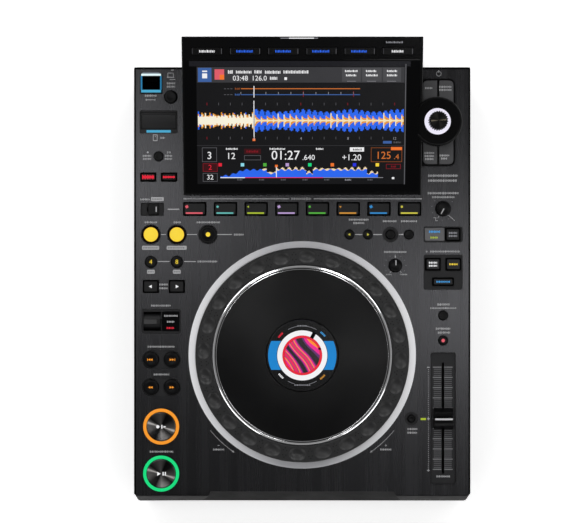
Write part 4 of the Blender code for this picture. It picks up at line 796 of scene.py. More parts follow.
# Left end, right end, place along Y and, where it isn't the usual one, height of a label.
LABELS = (
    (-155.7, -147.2, 115.1), (-155.7, -147.2, 112.1), (-134.2, -126.5, 115.1),
    (-134.2, -126.5, 112.1), (-153.8, -142.4, 173.9), (-132.3, -123.9, 186.0),
    (-132.3, -123.9, 182.7), (-138.6, -134.2, 132.7), (-132.1, -128.7, 118.5),
    (-158.3, -149.0, 72.5), (-153.8, -141.4, 50.1), (-125.7, -118.6, 50.1), (-103.2, -80.4, 50.1),
    (-66.7, -56.9, 38.1), (-102.3, -82.8, 11.8), (-139.6, -131.0, -10.7), (-139.6, -131.0, -14.4),
    (-147.8, -128.4, -31.3), (-151.1, -124.2, -71.5), (-145.1, -130.1, -98.6),
    (-149.0, -125.9, -174.1), (-10.5, 9.0, 73.1, 2.3), (45.7, 64.8, 52.7), (50.0, 61.0, 49.4),
    (78.9, 92.3, 51.2), (96.7, 112.2, 51.2), (80.1, 102.1, 21.1), (82.1, 87.5, -0.9, 1.4),
    (95.6, 102.6, -0.9, 1.4), (122.7, 152.6, 78.6, 2.2), (127.2, 148.7, 74.7),
    (125.2, 154.3, 21.6), (132.3, 144.6, -30.2, 2.3), (125.2, 150.9, -33.8, 1.5),
    (130.6, 145.4, -53.9, 2.2), (132.7, 144.7, -57.7, 2.2), (103.0, 113.0, -152.0),
    (103.0, 112.3, -155.6), (-87.0, -76.4, -172.0), (76.4, 87.0, -172.0),
    (123.1, 152.4, 95.7, 2.4), (123.1, 151.5, 90.9, 2.4))
labels = [row for label in LABELS for row in words(*label)]
# Left end, right end, place along Y and thickness of a line.
LINES = (
    (-152.3, -144.0, 169.9, 0.6), (-128.2, -125.4, 198.9, 0.6), (-129.4, -124.0, 189.7, 0.6),
    (-131.6, -125.8, 196.0, 0.5), (-132.2, -125.2, 191.9, 0.8), (-145.9, -141.5, 135.6, 0.6),
    (-145.9, -141.5, 129.9, 0.6), (-131.4, -120.1, 62.9, 1.0), (-116.0, -12.5, 73.1, 1.0),
    (11.2, 117.0, 73.1, 1.0), (-138.1, -133.2, 38.2, 0.7), (-112.7, -102.9, 38.2, 0.7),
    (-83.3, -68.7, 38.2, 0.7), (-141.4, -129.9, 11.8, 0.7), (-115.4, -104.0, 11.8, 0.7),
    (51.6, 58.8, 38.2, 0.8), (69.4, 78.0, 38.2, 0.8), (94.6, 99.0, 38.2, 0.8),
    (122.0, 124.8, -91.6, 0.7))
signs = strips(*LINES) + [
    (16, -152.3, 169.9, 1.7, 1.7), (4, -144.2, 169.9, 1.3, 1.3), (16, -151.0, 118.5, 1.8, 1.8),
    (3, 121.7, 21.6, 2.2, 2.2, 180), (4, 86.6, 1.9, 0.6, 2.6, -35), (4, 96.0, 1.9, 0.6, 2.6, 35),
    (4, 91.0, 16.6, 0.9, 2.0), (4, -131.4, 194.2, 0.5, 3.8), (4, -126.0, 194.2, 0.5, 3.8),
    (4, -145.6, 132.7, 0.6, 5.2), (4, -141.8, 132.7, 0.6, 5.2), (12, -143.7, 133.9, 0.8, 0.8),
    (4, 129.2, 54.7, 2.2, 0.5), (4, 130.3, 53.2, 0.5, 3.4), (4, 131.4, 51.7, 2.0, 0.5),
    (4, 142.5, 57.0, 2.0, 0.5), (4, 146.2, 54.3, 7.6, 0.5, -41), (4, 133.2, 55.3, 0.6, 2.4, 150),
    (4, 123.4, -192.4, 2.4, 0.6), (4, 123.4, -192.4, 0.6, 2.4), (4, -81.7, -168.0, 1.9, 0.5),
    (4, 81.7, -168.0, 1.9, 0.5), (4, 81.7, -168.0, 0.5, 1.9), (16, 123.4, -141.9, 2.2, 2.2),
    (4, 133.5, 197.6, 0.6, 2.4)]
signs += [(8, 123.4, -94.0 - 2.0 * step, 0.7, 0.7) for step in range(49) if step != 24]
signs += [(16, *polar((133.5, 195.4), 2.3, turned), 0.6, 0.6) for turned in range(120, 421, 12)]
ARC = 116.3          # radius of the two arrows beside the jog wheel
for side in (-1, 1):
    signs += [(4, *polar(JOG, ARC, -90 + side * turned), 0.4, 2.1, -90 + side * turned)
              for turned in range(36, 51)]
    signs.append((3, *polar(JOG, ARC, -90 + side * 35.5), 2.2, 3.4, side * 125.5))
knob_dots = [(12, *polar(knob, reach, 90 + first - pitch * step), 0.7, 0.7)
             for knob, reach, count, first, pitch in (((91.0, 7.9), 10.4, 11, 150, 30),
                                                      ((137.75, 63.4), 11.2, 9, 208, 32.5))
             for step in range(count)]
LABEL = surface("label print", "b4b4b6", 0.55, shift=0.12, bump=0.02)
INKS = {word: surface(word, code, 0.5, shift=0.1, bump=0.02)
        for word, code in {"dot print": "8c8c90", "box print": "707074", "scale print": "57575a",
                           "scale fives": "7c7c7e"}.items()}
marks("case_labels", labels, LABEL)
marks("case_signs", signs, PRINT)
marks("case_knob_dots", knob_dots, INKS["dot print"])
boxes = join("case_label_boxes", [
    block("label_box", place, (width, 3.9), PLATE, PLATE + 0.06, 0.9)
    for place, width in (((-148.2, 25.2), 16.8), ((-122.7, 25.2), 19.6), ((-147.9, 1.8), 7.6),
                         ((-122.6, 1.8), 7.6), ((-141.6, 72.8), 12.4))])
fit(paint(boxes, surface("label box", "b6b6b8", 0.5, shift=0.08, bump=0.02)), "case")
marks("case_label_box_marks", [
    row for left, right, y in ((-155.4, -141.2, 25.2), (-131.0, -114.6, 25.2),
                               (-150.6, -145.2, 1.8), (-125.4, -119.8, 1.8),
                               (-146.6, -136.8, 72.8))
    for row in words(left, right, y, 1.4)], INKS["box print"], thick=0.1)
marks("case_edge_band", [(4, side * 163.5, -7.5, 1.8, 416.0) for side in (-1, 1)]
      + [(4, side * 139.9, 200.6, 48.4, 2.0) for side in (-1, 1)], CAVITY, thick=0.04)
print(len(labels) + len(signs), "marks on the plate")

# %% [markdown]
# ## Marks on the keys
# Marks that light up shine through their caps, so they are lit and ride on the caps.

# %% Lit marks and numerals
def lit(name, node, word, rows, sink=0.0):
    """Lit marks on a cap; the rows count from its middle."""
    (x, y), top = spot(node)
    marks(name, [(sides, x + across, y + along, *size) for sides, across, along, *size in rows],
          LIT[word], node, top - sink)


def arrow(side, across=0.0, size=3.0):
    """A triangle that points left or right."""
    return (3, across, 0.0, size, size, -90 * side)


CUE_COLOURS = ("rose", "teal", "lime", "lilac", "leaf", "amber", "blue", "gold")
for number, word in enumerate(CUE_COLOURS, start=1):
    node = f"hot_cue_{number}_key"
    lit(node + "_light", node, word, [
        (4, -0.5, -4.1, 16.5, 1.5), (3 + number % 3, -7.7, 2.1, 2.6, 2.6, 30 * number)])
for node, depth in (("red_key_left", 4.4), ("red_key_right", 2.4)):
    lit(node + "_light", node, "red", [(4, 0, 0, 11.6, depth * 0.45)] + words(-5.8, 5.8, 0, depth))
for node, number in (("beat_loop_short_button", "4"), ("beat_loop_long_button", "8")):
    (x, y), top = spot(node)
    numerals(node + "_number", [(number, x, y, 4.4)], LIT["yellow"], node, top - 0.2)
for end, side in (("back", -1), ("forward", 1)):
    lit(f"beat_jump_{end}_key_arrow", f"beat_jump_{end}_key", "white", [arrow(side, size=3.9)])
    lit(f"call_{end}_button_arrow", f"call_{end}_button", "gold", [arrow(side)], 0.2)
    pair = [arrow(side, -1.2, 2.9), arrow(side, 1.0, 2.9)]
    lit(f"search_{end}_button_arrows", f"search_{end}_button", "orange", pair, 0.1)
    lit(f"track_{end}_button_arrows", f"track_{end}_button", "orange",
        pair + [(4, side * 3.2, 0, 0.6, 2.4)], 0.1)
lit("play_mark", "play_button", "white", [arrow(1, -2.6, 4.6), (4, 2.0, 0, 1.1, 3.6),
                                          (4, 4.2, 0, 1.1, 3.6)], 0.2)
lit("cue_mark", "cue_button", "white", [(20, -3.2, 0, 3.2, 3.2), (4, 0.8, 0, 1.1, 3.6),
                                        (4, 3.4, 0, 2.2, 1.1)], 0.2)
for node, word, wide, lines in (("beat_sync_key", "white", 4.0, (1.5, -1.5)),
                                ("master_key", "yellow", 4.0, (0,)),
                                ("key_sync_key", "sky", 6.6, (0,)),
                                ("jog_mode_key", "haze", 4.0, (1.5, -1.5))):
    lit(node + "_light", node, word, [row for y in lines for row in words(-wide, wide, y)])
print("key marks lit")

# %% [markdown]
# The wells beside the keys carry a few marks of their own: the window of the direction
# lever, the two lines of the jog mode window, the fader's scale and its small lamp.

# %% Windows and scale
window = block("direction_window", (-128.7, -46.7), (17.4, 19.6), 79.2, 79.45, 0.8, [(0.4, 0.2)])
fit(paint(window, GLOSS_BLACK), "case", angle=12)
pane = block("jog_mode_window", (129.6, 38.3), (19.4, 12.8), 79.2, 79.6, 0.8, [(0.4, 0.15)])
fit(paint(pane, surface("smoked window", "464649", 0.22, shift=0.06, bump=0.02)), "case", angle=12)
scale = [(4, x, -91.6 - 2.0 * step, 7.2, 0.8) for step in range(51) if step % 5
         for x in (132.3, 142.7)]
fives = [(4, x, -91.6 - 10.0 * step, 8.4, 1.0) for step in range(11) for x in (132.0, 143.0)]
for name, rows, ink_used, height in (
        ("direction_window_marks", words(-135.0, -121.9, -41.3) + words(-132.2, -124.5, -47.1),
         PRINT, 79.65),
        ("direction_window_red", words(-132.5, -124.7, -53.2), LIT["red"], 79.65),
        ("jog_mode_blue", words(124.0, 134.8, 40.9, 2.3), LIT["sky"], 79.75),
        ("jog_mode_green", words(125.4, 133.0, 35.2, 2.0), LIT["lime"], 79.75),
        ("fader_scale", scale, INKS["scale print"], 78.5),
        ("fader_scale_fives", fives, INKS["scale fives"], 78.5),
        ("fader_label", words(131.5, 144.5, -198.5, 2.0), LABEL, 78.5)):
    marks(name, rows, ink_used, height=height)
marks("tempo_lamp", [(4, 118.4, -142.2, 5.2, 2.0)], LIT["lime"], thick=0.3)
print(len(scale), "scale lines")

# %% [markdown]
# ## Solids that keep their own shape
# Where a solid is right as it is, it only gets a better finish, put in its material slots.
# The port gets a lit frame on top and a painted glow of its light on the plate behind it, the
# card door a smoked lid with a blue strip before it, and the feet are turned rubber pads.

# %% Finishes for solids, port and card door
KEPT = {"main_board": BLACK_PLASTIC, "media_port": CAVITY,
        "fader_unit": RECESS_BLACK, "display_glass": GLOSS_BLACK,
        "jog_centre_display": surface("centre glass", "161617", 0.16, shift=0.1, bump=0.01,
                                      specular=0.4)}
for node, material in KEPT.items():
    for place in nodes[node].material_slots:
        place.material = material
for name, word, left, right, low, high in (
        ("port_light_rear", "ice", -157.4, -138.0, 193.3, 195.3),
        # Painted light: these two rows are the port's light spilling onto the plate behind the
        # frame, fading outwards.
        ("port_glow", "glow", -156.6, -138.8, 195.3, 196.1),
        ("port_glow_edge", "afterglow", -155.6, -139.8, 196.1, 197.0),
        ("port_light_front", "pool", -157.4, -138.0, 177.0, 179.6),
        ("port_light_left", "water", -157.9, -156.3, 179.6, 193.3),
        ("port_light_right", "water", -138.9, -137.5, 179.6, 193.3)):
    marks(name, strips((left, right, (low + high) / 2, high - low)), LIT[word], "case", 80.3, 0.12)
door = shell("card_door_lid", "card_door", 0.3, lambda at: at.z > 79.0)
fit(paint(door, surface("smoked lid", "2a2a2b", 0.3, shift=0.1, bump=0.02, specular=0.2)),
    "card_door", "card_door", angle=12)
marks("card_door_light", [(4, -140.4, 139.1, 23.7, 2.4)], LIT["pool"], "case", 79.2, 0.2)
low, high = (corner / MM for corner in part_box("card_door"))
well = [(4, x, (low.y + high.y) / 2, 1.6, high.y - low.y) for x in (low.x, high.x)]
well += [(4, (low.x + high.x) / 2, y, high.x - low.x + 1.6, 1.6) for y in (low.y, high.y)]
marks("card_well_edge", well, BLACK_PLASTIC, "case", 79.2, 0.04)
FOOT = ((0, 0.3), (9.8, 0.3), (10.2, 0), (12.6, 0), (13.6, 0.5), (14, 1.4), (14, 5.2), (13.6, 5.7),
        (0, 5.7))
for foot in ("front_left", "front_right", "rear_left", "rear_right"):
    pad = turn("foot_pad_" + foot, FOOT, spot("foot_" + foot)[0], 64)
    fit(paint(pad, RUBBER), "case", "foot_" + foot)
print(len(KEPT), "solids keep their shape")

# %% [markdown]
# ## The selector
# A knurled knob stands in a lit ring on the round disc, with four grey keys round it.

# %% Selector knob, ring and keys
# The knob's spun top carries the same painted reflection, its bright line turned to lie level.
knob = cap("selector_knob", [(0, -0.3), (7.3, -0.3), (7.6, 0), (7.9, 0), (8.9, -0.4), (9.2, -1.0),
                             (9.2, -9.5), (9.2, -11.5)], BLACK_PLASTIC,
           spun_metal_painted_sheen("spun selector", "selector_knob", "121212", "2c2a28", "8c8270", -0.01),
           rings=[(0, 7.4)], steps=96, foot=100.45)
(x, y), top = spot("selector_knob")
edit(knob, lambda vert: (vert.co.xy / MM - Vector((x, y))).length > 8.5
     and round(math.degrees(math.atan2(vert.co.y - y * MM, vert.co.x - x * MM)) / 3.75) % 4 < 2,
     "VERT")
bpy.ops.transform.resize(value=(0.91, 0.91, 1.0), center_override=(x * MM, y * MM, top * MM))
close()
RING = ((8.2, 99.9), (8.2, 100.3), (8.3, 100.35), (12.3, 100.35), (12.7, 100.2), (12.7, 99.9),
        (8.2, 99.9))
DISC_RIM = ((21.6, 99.9), (21.8, 100.15), (22.8, 100.15), (23.5, 99.9), (23.95, 99.2),
            (23.95, 98.6), (21.6, 98.6), (21.6, 99.9))
halo = turn("selector_light", RING, (x, y), 96)
fit(paint(halo, surface("lit pearl", "202020", 0.3, lit="ece8fc", bump=0.02, shift=0.1)), "case")
fit(paint(turn("selector_disc_rim", DISC_RIM, (x, y), 128), BLACK_PLASTIC), "case")
quarter = shell("selector_key_caps", "selector_keys", 0.35, lambda at: at.z > 88.5)
paint(quarter, BLACK_PLASTIC, surface("selector key grey", "424244", 0.5, shift=0.12),
      chosen=[lambda at, normal: at.z > 88.0])
fit(quarter, "selector_keys", "selector_keys", angle=12)
KEY_WORDS = (
    (119.4, 127.1, 180.4), (133.2, 144.9, 181.6), (133.2, 144.9, 178.6), (118.8, 128.2, 117.3),
    (119.0, 128.0, 114.3), (119.4, 128.0, 111.4), (133.5, 142.9, 114.9), (135.0, 141.4, 111.9))
marks("selector_key_marks", [row for label in KEY_WORDS for row in words(*label)], PRINT,
      "selector_keys", spot("selector_keys")[1])
print("selector at", round(x, 1), round(y, 1))

# %% [markdown]
# ## The display in the jog wheel
# A small round screen stands still in the middle of the platter: two blue blocks, a white
# ring with a position mark, a red ring, and a picture. The picture is plain bands of
# magenta, orange and purple. Ring parts are spun, and bisected where they end straight.


# %% Centre display
SCREEN_TOP = 90.2    # height of the round screen's surface


def flat_ring(name, inner, outer, word, sweep=360.0, start=0.0):
    """A thin lit ring, or a part of one, on the round screen."""
    low, high = SCREEN_TOP, SCREEN_TOP + 0.1
    return paint(turn(name, ((inner, low), (outer, low), (outer, high), (inner, high),
                             (inner, low)), JOG, 128, sweep, start), LIT[word])


fit(flat_ring("centre_white_ring", 19.4, 24.3, "white"), "case")
fit(flat_ring("centre_red_ring", 17.1, 19.3, "red"), "case")
for name, start in (("centre_block_right", -38.0), ("centre_block_left", 142.0)):
    piece = flat_ring(name, 24.8, 33.2, "block", 76.0, -start)
    for side in (-1, 1):
        edit(piece, lambda face: True)
        bpy.ops.mesh.bisect(plane_co=(0, (JOG[1] + side * 14.0) * MM, 0), plane_no=(0, side, 0),
                            clear_outer=True, use_fill=True)
        close()
    fit(piece, "case")


def make_picture():
    material = surface("picture bands", "101010", 0.25, lit="ffffff", bump=0.0)
    tree = material.node_tree
    bands = add(tree, "TexWave", {"bands_direction": "DIAGONAL"}, Vector=place_on(tree),
                Scale=24.0, Distortion=4.0, Detail=0.0, Detail_Scale=1.4).outputs["Fac"]
    colours = add(tree, "ValToRGB", Fac=bands).outputs[0]
    stops = tree.nodes[-1].color_ramp
    stops.interpolation = "CONSTANT"
    for spot_at, code in ((0.14, "5c1e66"), (0.32, "e8148c"), (0.62, "ff8a1e"), (0.8, "7a2f80"),
                          (0.9, "e01c5a")):
        stops.elements.new(spot_at).color = ink(code)
    stops.elements[0].color, stops.elements[-1].color = ink("1a0a16"), ink("28101e")
    feed(tree, tree.nodes["Principled BSDF"], Emission_Color=colours)
    return material


picture = turn("centre_picture", ((0, SCREEN_TOP), (17.0, SCREEN_TOP), (17.0, SCREEN_TOP + 0.1),
                                  (0, SCREEN_TOP + 0.1)), JOG, 96)
fit(paint(picture, make_picture()), "case")
around = {word: [(4, *polar(JOG, 28.9, turned + step), 1.7, 0.9, turned + step)
                 for step in (-5, -2.5, 0, 2.5, 5)]
          for word, turned in (("red", 137), ("sky", 46), ("white", -136), ("amber", -47))}
around["haze"] = [(4, *polar(JOG, 28.6, turned), 0.35, 1.1, turned)
                  for first, last in ((98, 120), (62, 84), (-118, -104), (-76, -60))
                  for turned in range(first, last, 2)]
around["haze"] += words(-4.6, 4.6, -50.7, 1.3) + words(-7.6, 7.6, -108.2, 1.3)
for word, rows in around.items():
    marks("centre_marks_" + word, rows, LIT[word], height=SCREEN_TOP)
marks("centre_position", [(4, 10.5, -60.0, 3.6, 6.4, -28.5), (4, 16.9, -73.0, 2.6, 1.8, -20)],
      GLOSS_BLACK, height=SCREEN_TOP + 0.1)
print("centre display drawn")

# %% [markdown]
# ## The tilted screen
# The screen is laid out as on a desk, in picture units, and turned into the tilted glass
# by one matrix. Layers a few hundredths of a millimetre apart keep their order: panels,
# boxes, curves, then numerals. The curves are rows of bars whose heights follow waves.


# %% Screen layout
PIXEL = 0.9662       # depth of a picture unit on the glass, in millimetres


def tile(left, right, top, bottom):
    """A bar on the screen from its edges in picture units, wider towards the front."""
    v = 10.47 + (184.3 - (top + bottom) / 2) * PIXEL
    scale = 0.9712 - 0.00012 * (v - 10.5)
    return (4, -9.0 + ((left + right) / 2 - 293) * scale, v, (right - left) * scale,
            (bottom - top) * PIXEL)


def frame_box(left, right, top, bottom):
    """The four lines of a frame."""
    line = 0.5
    return [(left, right, top, top + line), (left, right, bottom - line, bottom),
            (left, left + line, top + line, bottom - line),
            (right - line, right, top + line, bottom - line)]


def show(name, word, boxes, layer):
    """Lit boxes on the screen; a higher layer lies over a lower one."""
    marks("screen_" + name, [tile(*box) for box in boxes], LIT[word], "case", layer * 0.05, 0.05,
          FACE)


def ticks(left, right, top, bottom):
    """Short bars that stand for a line of writing on the screen."""
    return [(at, at + width, top + (0.0, 0.5, 0.2)[step % 3], bottom)
            for step, at, width in bars(left, right, (0.9, 0.5, 1.2, 0.7), 0.5, 0.5)]


LIT.update({word: surface("lit " + word, "0a0a0a", 0.2, lit=code, bump=0.0, shift=0.06,
                          specular=0.2)
            for word, code in {"night": "131315", "dusk": "17171c", "slate": "38383b",
                               "pewter": "48484b", "steel": "58585c", "azure": "2c68f0",
                               "denim": "3c60a0", "deep red": "841622", "wine": "3a1014",
                               "tangerine": "f0742c", "copper": "d0702f", "rust": "8c4a20",
                               "butter": "fff0c8", "ivory": "fff3dc", "honey": "e6962e",
                               "cobalt": "2a34e4"}.items()})
show("panel", "night", [(197.0, 404.6, 66.6, 184.0)], 0)
show("header", "slate", [(197.0, 404.6, 67.2, 82.4)], 1)
# Painted highlight: the lit line down the right edge of the screen stands for a reflection along
# that edge.
show("edges", "steel", [(404.6, 405.6, 64.0, 184.3)], 1)
show("glass_band", "dusk", [(189.0, 410.6, 61.2, 66.4)], 0)
show("tiles", "pewter", [(342, 360.8, 67.9, 81.6), (362.2, 381.6, 67.9, 81.6),
                         (383, 401, 67.9, 81.6)], 2)
show("tile_lines", "haze", [(left, left + 9.0, 80.9, 81.3) for left in (347, 367, 387)], 3)
show("divider", "slate", [(197, 404.6, 145.0, 145.4)], 2)
show("boxes", "steel", frame_box(202.1, 216.9, 147.2, 161.7)
     + frame_box(244.2, 260.9, 155.0, 159.9) + frame_box(202.9, 217.6, 173.0, 181.6)
     + [(left, left + 2.1, top, top + 0.6) for left in (224.0, 227.2, 230.4)
        for top in (88.3, 94.1)] + ticks(393.6, 401.0, 141.0, 142.8)
     + [(206.7 + 11.72 * step, 207.2 + 11.72 * step, top, top + 2.6)
        for step in range(17) if step % 4 for top in (102.4, 136.4)], 2)
show("blue_boxes", "denim", [(198.0, 211.5, 67.9, 81.8)], 2)
WRITING = ((345, 358, 70.0, 72.0), (346, 357, 74.2, 76.2), (366, 377, 70.0, 72.0),
           (366, 378, 74.2, 76.2), (387, 397, 70.0, 72.0), (387, 397, 74.2, 76.2),
           (228, 233, 70.2, 73.6), (236, 252, 70.6, 73.4), (254.5, 262, 70.2, 73.4),
           (265, 281, 70.6, 73.6), (283.5, 309, 70.4, 73.4), (270, 278, 76.6, 79.6),
           (226.0, 238.0, 147.6, 149.4), (269.6, 285, 147.6, 149.4), (316.0, 324.0, 147.6, 149.4))
show("white_lines", "white", [row for line in WRITING for row in ticks(*line)] + [
    (202.2, 207.2, 70.6, 72.0), (202.2, 207.2, 73.4, 78.2), (284.4, 287.0, 77.2, 79.8),
    (253.6, 254.4, 85.8, 97.2), (253.6, 254.4, 100.4, 139.6), (349.8, 364.0, 147.0, 151.2),
    (391.8, 394.2, 177.0, 179.0), (276.0, 276.8, 166.2, 177.2), (220.4, 245.0, 177.2, 178.0)], 3)
show("lamps", "haze", [(323.0, 383.0, 177.2, 177.8)] + ticks(345.0, 351.0, 178.8, 180.6)
     + [(240.6 + 12.5 * step, 241.2 + 12.5 * step, 91.8, 94.0) for step in range(10)], 3)
show("times", "steel", [row for left in (237.4, 259.2, 280.9, 302.6, 324.3, 367.6)
                        for row in ticks(left, left + 5.4, 178.8, 180.4)], 2)
show("picture_square", "rose", [(214.6, 224.2, 69.3, 79.5)], 2)
show("picture_corner", "tangerine", [(219.6, 224.2, 74.6, 79.5)], 3)
show("orange_marks", "tangerine", [(390.9, 402, 146.7, 149.8), (252.6, 255.4, 138.2, 140.6),
                                   (275.0, 277.8, 164.6, 167.0)], 3)
show("orange_line", "copper", [(240.9, 360.0, 88.1, 88.9)], 2)
show("orange_frame", "rust", frame_box(370.9, 402.0, 147.2, 161.7)
     + ticks(235.0, 239.8, 87.6, 89.4), 2)
show("blue_lines", "denim", [(240.9, 360.0, 94.0, 94.8), (383, 391.6, 140.6, 143.2)]
     + ticks(235.0, 239.8, 93.4, 95.2), 2)
show("red_line", "red", [(245.0, 323.0, 177.2, 177.9)], 3)
show("red_marks", "deep red", [(left, left + 0.7, 91.0, 96.6) for left in (303.0, 353.1)]
     + [(206.7 + 46.9 * step, 207.3 + 46.9 * step, top, top + 2.6)
        for step in range(5) for top in (102.4, 136.4) if step < 2 or top < 120]
     + frame_box(386.0, 400.7, 163.8, 168.8) + frame_box(202.9, 217.6, 163.2, 171.5)
     + ticks(391.0, 396.0, 165.4, 167.2) + ticks(246.6, 258.6, 150.0, 152.2), 3)
show("red_boxes", "wine", [(244.2, 260.9, 148.4, 153.7), (202.9, 217.6, 163.2, 171.5)], 2)
show("box_words", "night", ticks(353.0, 361.6, 148.2, 150.2), 4)
CUE_SQUARES = ((220.2, "red"), (242.5, "cyan"), (264.9, "leaf"), (287.3, "lilac"),
               (309.8, "green"), (332.3, "tangerine"), (354.5, "cobalt"), (377.3, "yellow"))
for at, word in CUE_SQUARES:
    show("cue_square_%d" % at, word, [(at - 1.7, at + 1.7, 162.9, 166.2)], 2)
print("screen panels laid")

# %% [markdown]
# The curves are columns side by side. Each beat jumps up and falls away, and the small
# overview under them is one long wave in two colours.


# %% Curves on the screen
def swing(at, length, sharp):
    """One beat of a curve: a jump up and a fall."""
    return math.exp(-sharp * ((at % length) / length))


MIDDLE = 120.2       # of the large curve, in picture units
LENGTH = 5.87        # of one beat


def column(at, half, width=1.25):
    return (at, at + width, MIDDLE - half, MIDDLE + half)


steps = [254.8 + 1.2 * step for step in range(124)]
show("wave_blue", "azure", [
    column(at, 5.2 + 6.4 * abs(math.cos(math.pi * (at - 255.6) / LENGTH)) ** 0.7
           * (0.8 + 0.2 * math.sin(0.13 * at))) for at in steps], 1)
show("wave_orange", "honey", [
    column(at, 1.2 + 5.6 * swing(at - 254, LENGTH, 3.0) + 0.7 * math.sin(0.33 * at))
    for at in steps], 2)
show("wave_white", "butter", [
    column(at, 0.7 + 7.6 * swing(at - 254, LENGTH, 9.0), width=1.0) for at in steps], 3)
early = [198.0 + 1.15 * step for step in range(48)]
show("early_blue", "azure", [
    column(at, 2.0 + 7.0 * swing(at - 198, 11.7, 5.0)) for at in early], 1)
show("early_orange", "honey", [
    column(at, 3.4 + 5.4 * swing(at - 197, 3.9, 2.2) + 1.2 * math.sin(at)) for at in early], 2)
show("early_cream", "ivory", [
    column(at, 2.6 + 4.6 * swing(at - 197, 3.9, 2.2) + 0.8 * math.sin(1.7 * at))
    for at in early], 3)


BASE = 177.2         # the line on which the overview stands


def overview(at):
    rise = 1.5 + 6.0 * min(1.0, max(0.0, (at - 228) / 16)) * (0.42 if 266 < at < 276 else 1.0)
    return max(0.6, rise * (0.5 if 306 < at < 312 or at > 366 else 1.0)
               + 0.9 * math.sin(0.9 * at))


far = [220.5 + 1.1 * step for step in range(143)]
show("overview_blue", "azure", [(at, at + 1.15, BASE - overview(at), BASE) for at in far], 1)
show("overview_cream", "cream", [(at, at + 1.15, BASE - overview(at) - 1.2 - math.cos(at),
                                  BASE - overview(at)) for at in far if at > 262], 1)
print(len(steps) + len(early) + len(far), "columns of curves")

# %% [markdown]
# All numbers on the screen are plain ones chosen for this player.


# %% Numerals on the screen
def figures(name, word, rows):
    """Numerals at a place in picture units, with their height."""
    placed = []
    for text, px, py, size in rows:
        _, x, v, _, _ = tile(px - 0.5, px + 0.5, py - 0.5, py + 0.5)
        placed.append((text, x, v, size * PIXEL))
    numerals("figures_" + name, placed, LIT[word], "case", 0.2, 0.05, FACE)


figures("white", "white", [("03:48", 240.4, 78.3, 5.0), ("126.0", 259.2, 78.3, 5.0),
                           ("3", 209.5, 155.6, 7.6), ("12", 231.0, 156.0, 6.6),
                           ("01:27", 285.6, 155.4, 9.4), (".640", 308.6, 157.4, 5.4),
                           ("+1.20", 351.6, 157.4, 6.2), ("32", 210.2, 177.4, 5.0)])
figures("orange", "copper", [("125", 383.4, 155.4, 7.6), (".4", 396.4, 156.6, 5.4)])
figures("red", "red", [("2", 210.2, 167.4, 5.2)])
figures("beats", "haze", [("4", 301.0, 138.2, 2.8), ("8", 348.0, 138.2, 2.8),
                          ("12", 394.4, 138.2, 2.8)])

# %% [markdown]
# Six keys in one strip stand above the screen, on the same tilt. Lit lines at their ends and a lit
# bar on the rear edge above them are painted highlights.

# %% Keys above the screen
STRIP_KEYS = [-91.25 + 36.5 * step for step in range(6)]
strip_caps = join("display_key_caps", [
    block("strip_cap", (x, 138.8), (29.2, 6.6), -2.5, 0.55, 0.8, [(0.35, 0.35)])
    for x in STRIP_KEYS])
strip_caps.data.transform(FACE)
paint(strip_caps, surface("strip key black", "060607", 0.3, shift=0.1, specular=0.15))
fit(strip_caps, "display_key_strip", "display_key_strip", angle=20)
LIGHTS = {"white": ((199.3, 214.6), (391.7, 403.4)),
          "azure": ((236.4, 252.8), (275.3, 290.9), (312.3, 329.5), (351.3, 366.6))}
# Painted highlights: a brighter line at the right end of each key and a dimmer one at its left.
strip_marks = {"end_highlight_" + word: (word, [(4, x + side * 13.9, 138.8, 0.5, 5.0) for x in STRIP_KEYS])
               for word, side in (("steel", 1), ("dim", -1))}
strip_marks.update({"light_" + word: (word, [tile(*box) for left, right in spans
                                             for box in ticks(left, right, 50.3, 52.7)])
                    for word, spans in LIGHTS.items()})
for name, (word, rows) in strip_marks.items():
    marks("strip_key_" + name, rows, LIT[word], "display_key_strip", 0.9, 0.06, FACE)
show("mark_row", "haze", ticks(386.0, 403.6, 41.8, 43.6), 1)
# Painted highlight: a lit bar on the rear top edge of the housing, whitest in its middle, stands
# for a glint there.
show("rear_glint", "haze", [(280.5, 318.0, 38.3, 39.1)], 1)
show("rear_glint_middle", "white", [(289.0, 314.0, 38.2, 39.2)], 2)

# %% [markdown]
# ## The back and the underside
# The photograph doesn't show them, so they are what such a player has: pins in the mains
# inlet, contacts in the network and data sockets, metal rings round the sound sockets,
# short label rows, and on the underside screws and air slots. One matrix turns flat marks
# onto the rear wall, another turns them under the chassis.


# %% Rear details
def rear(depth):
    """Turns a flat layout to face the rear, at so many millimetres along Y."""
    return Matrix(((-1, 0, 0, 0), (0, 0, 1, depth * MM), (0, 1, 0, 0), (0, 0, 0, 1)))


REAR_SIGNS = [(16, -138.2, 50.5, 3.2, 3.2)]
rear_words = [row for left, right in ((-125.0, -95.0), (-42.0, -24.0), (-9.0, 3.0), (48.0, 64.0),
                                      (72.0, 86.0), (94.0, 110.0))
              for row in words(left, right, 50.5, 2.2)]
pins = [(4, -108.6 + across, up, 2.2, 5.0)
        for across, up in ((-7.0, 27.5), (7.0, 27.5), (0, 31.5))]
contacts = [(4, -36.9 + 1.14 * step, 29.6, 0.6, 1.0) for step in range(8)]
GOLD = surface("gold contacts", "c8a050", 0.3, 1.0, shift=0.05)
for name, rows, material, thick, depth in (
        ("mains_pins", pins, CHROME, 9.0, 188.0), ("network_contacts", contacts, GOLD, 7.0, 191.0),
        ("data_tongue", [(4, -3.3, 25.3, 5.2, 3.0)], SATIN_SILVER, 6.5, 193.0),
        ("rear_labels", rear_words + REAR_SIGNS, LABEL, 0.08, 201.8)):
    marks(name, rows, material, "case", 0, thick, rear(depth))
SOCKET_LIP = ((4.2, 0), (5.6, 0), (5.6, 0.5), (5.2, 0.9), (4.2, 0.9), (4.2, 0))
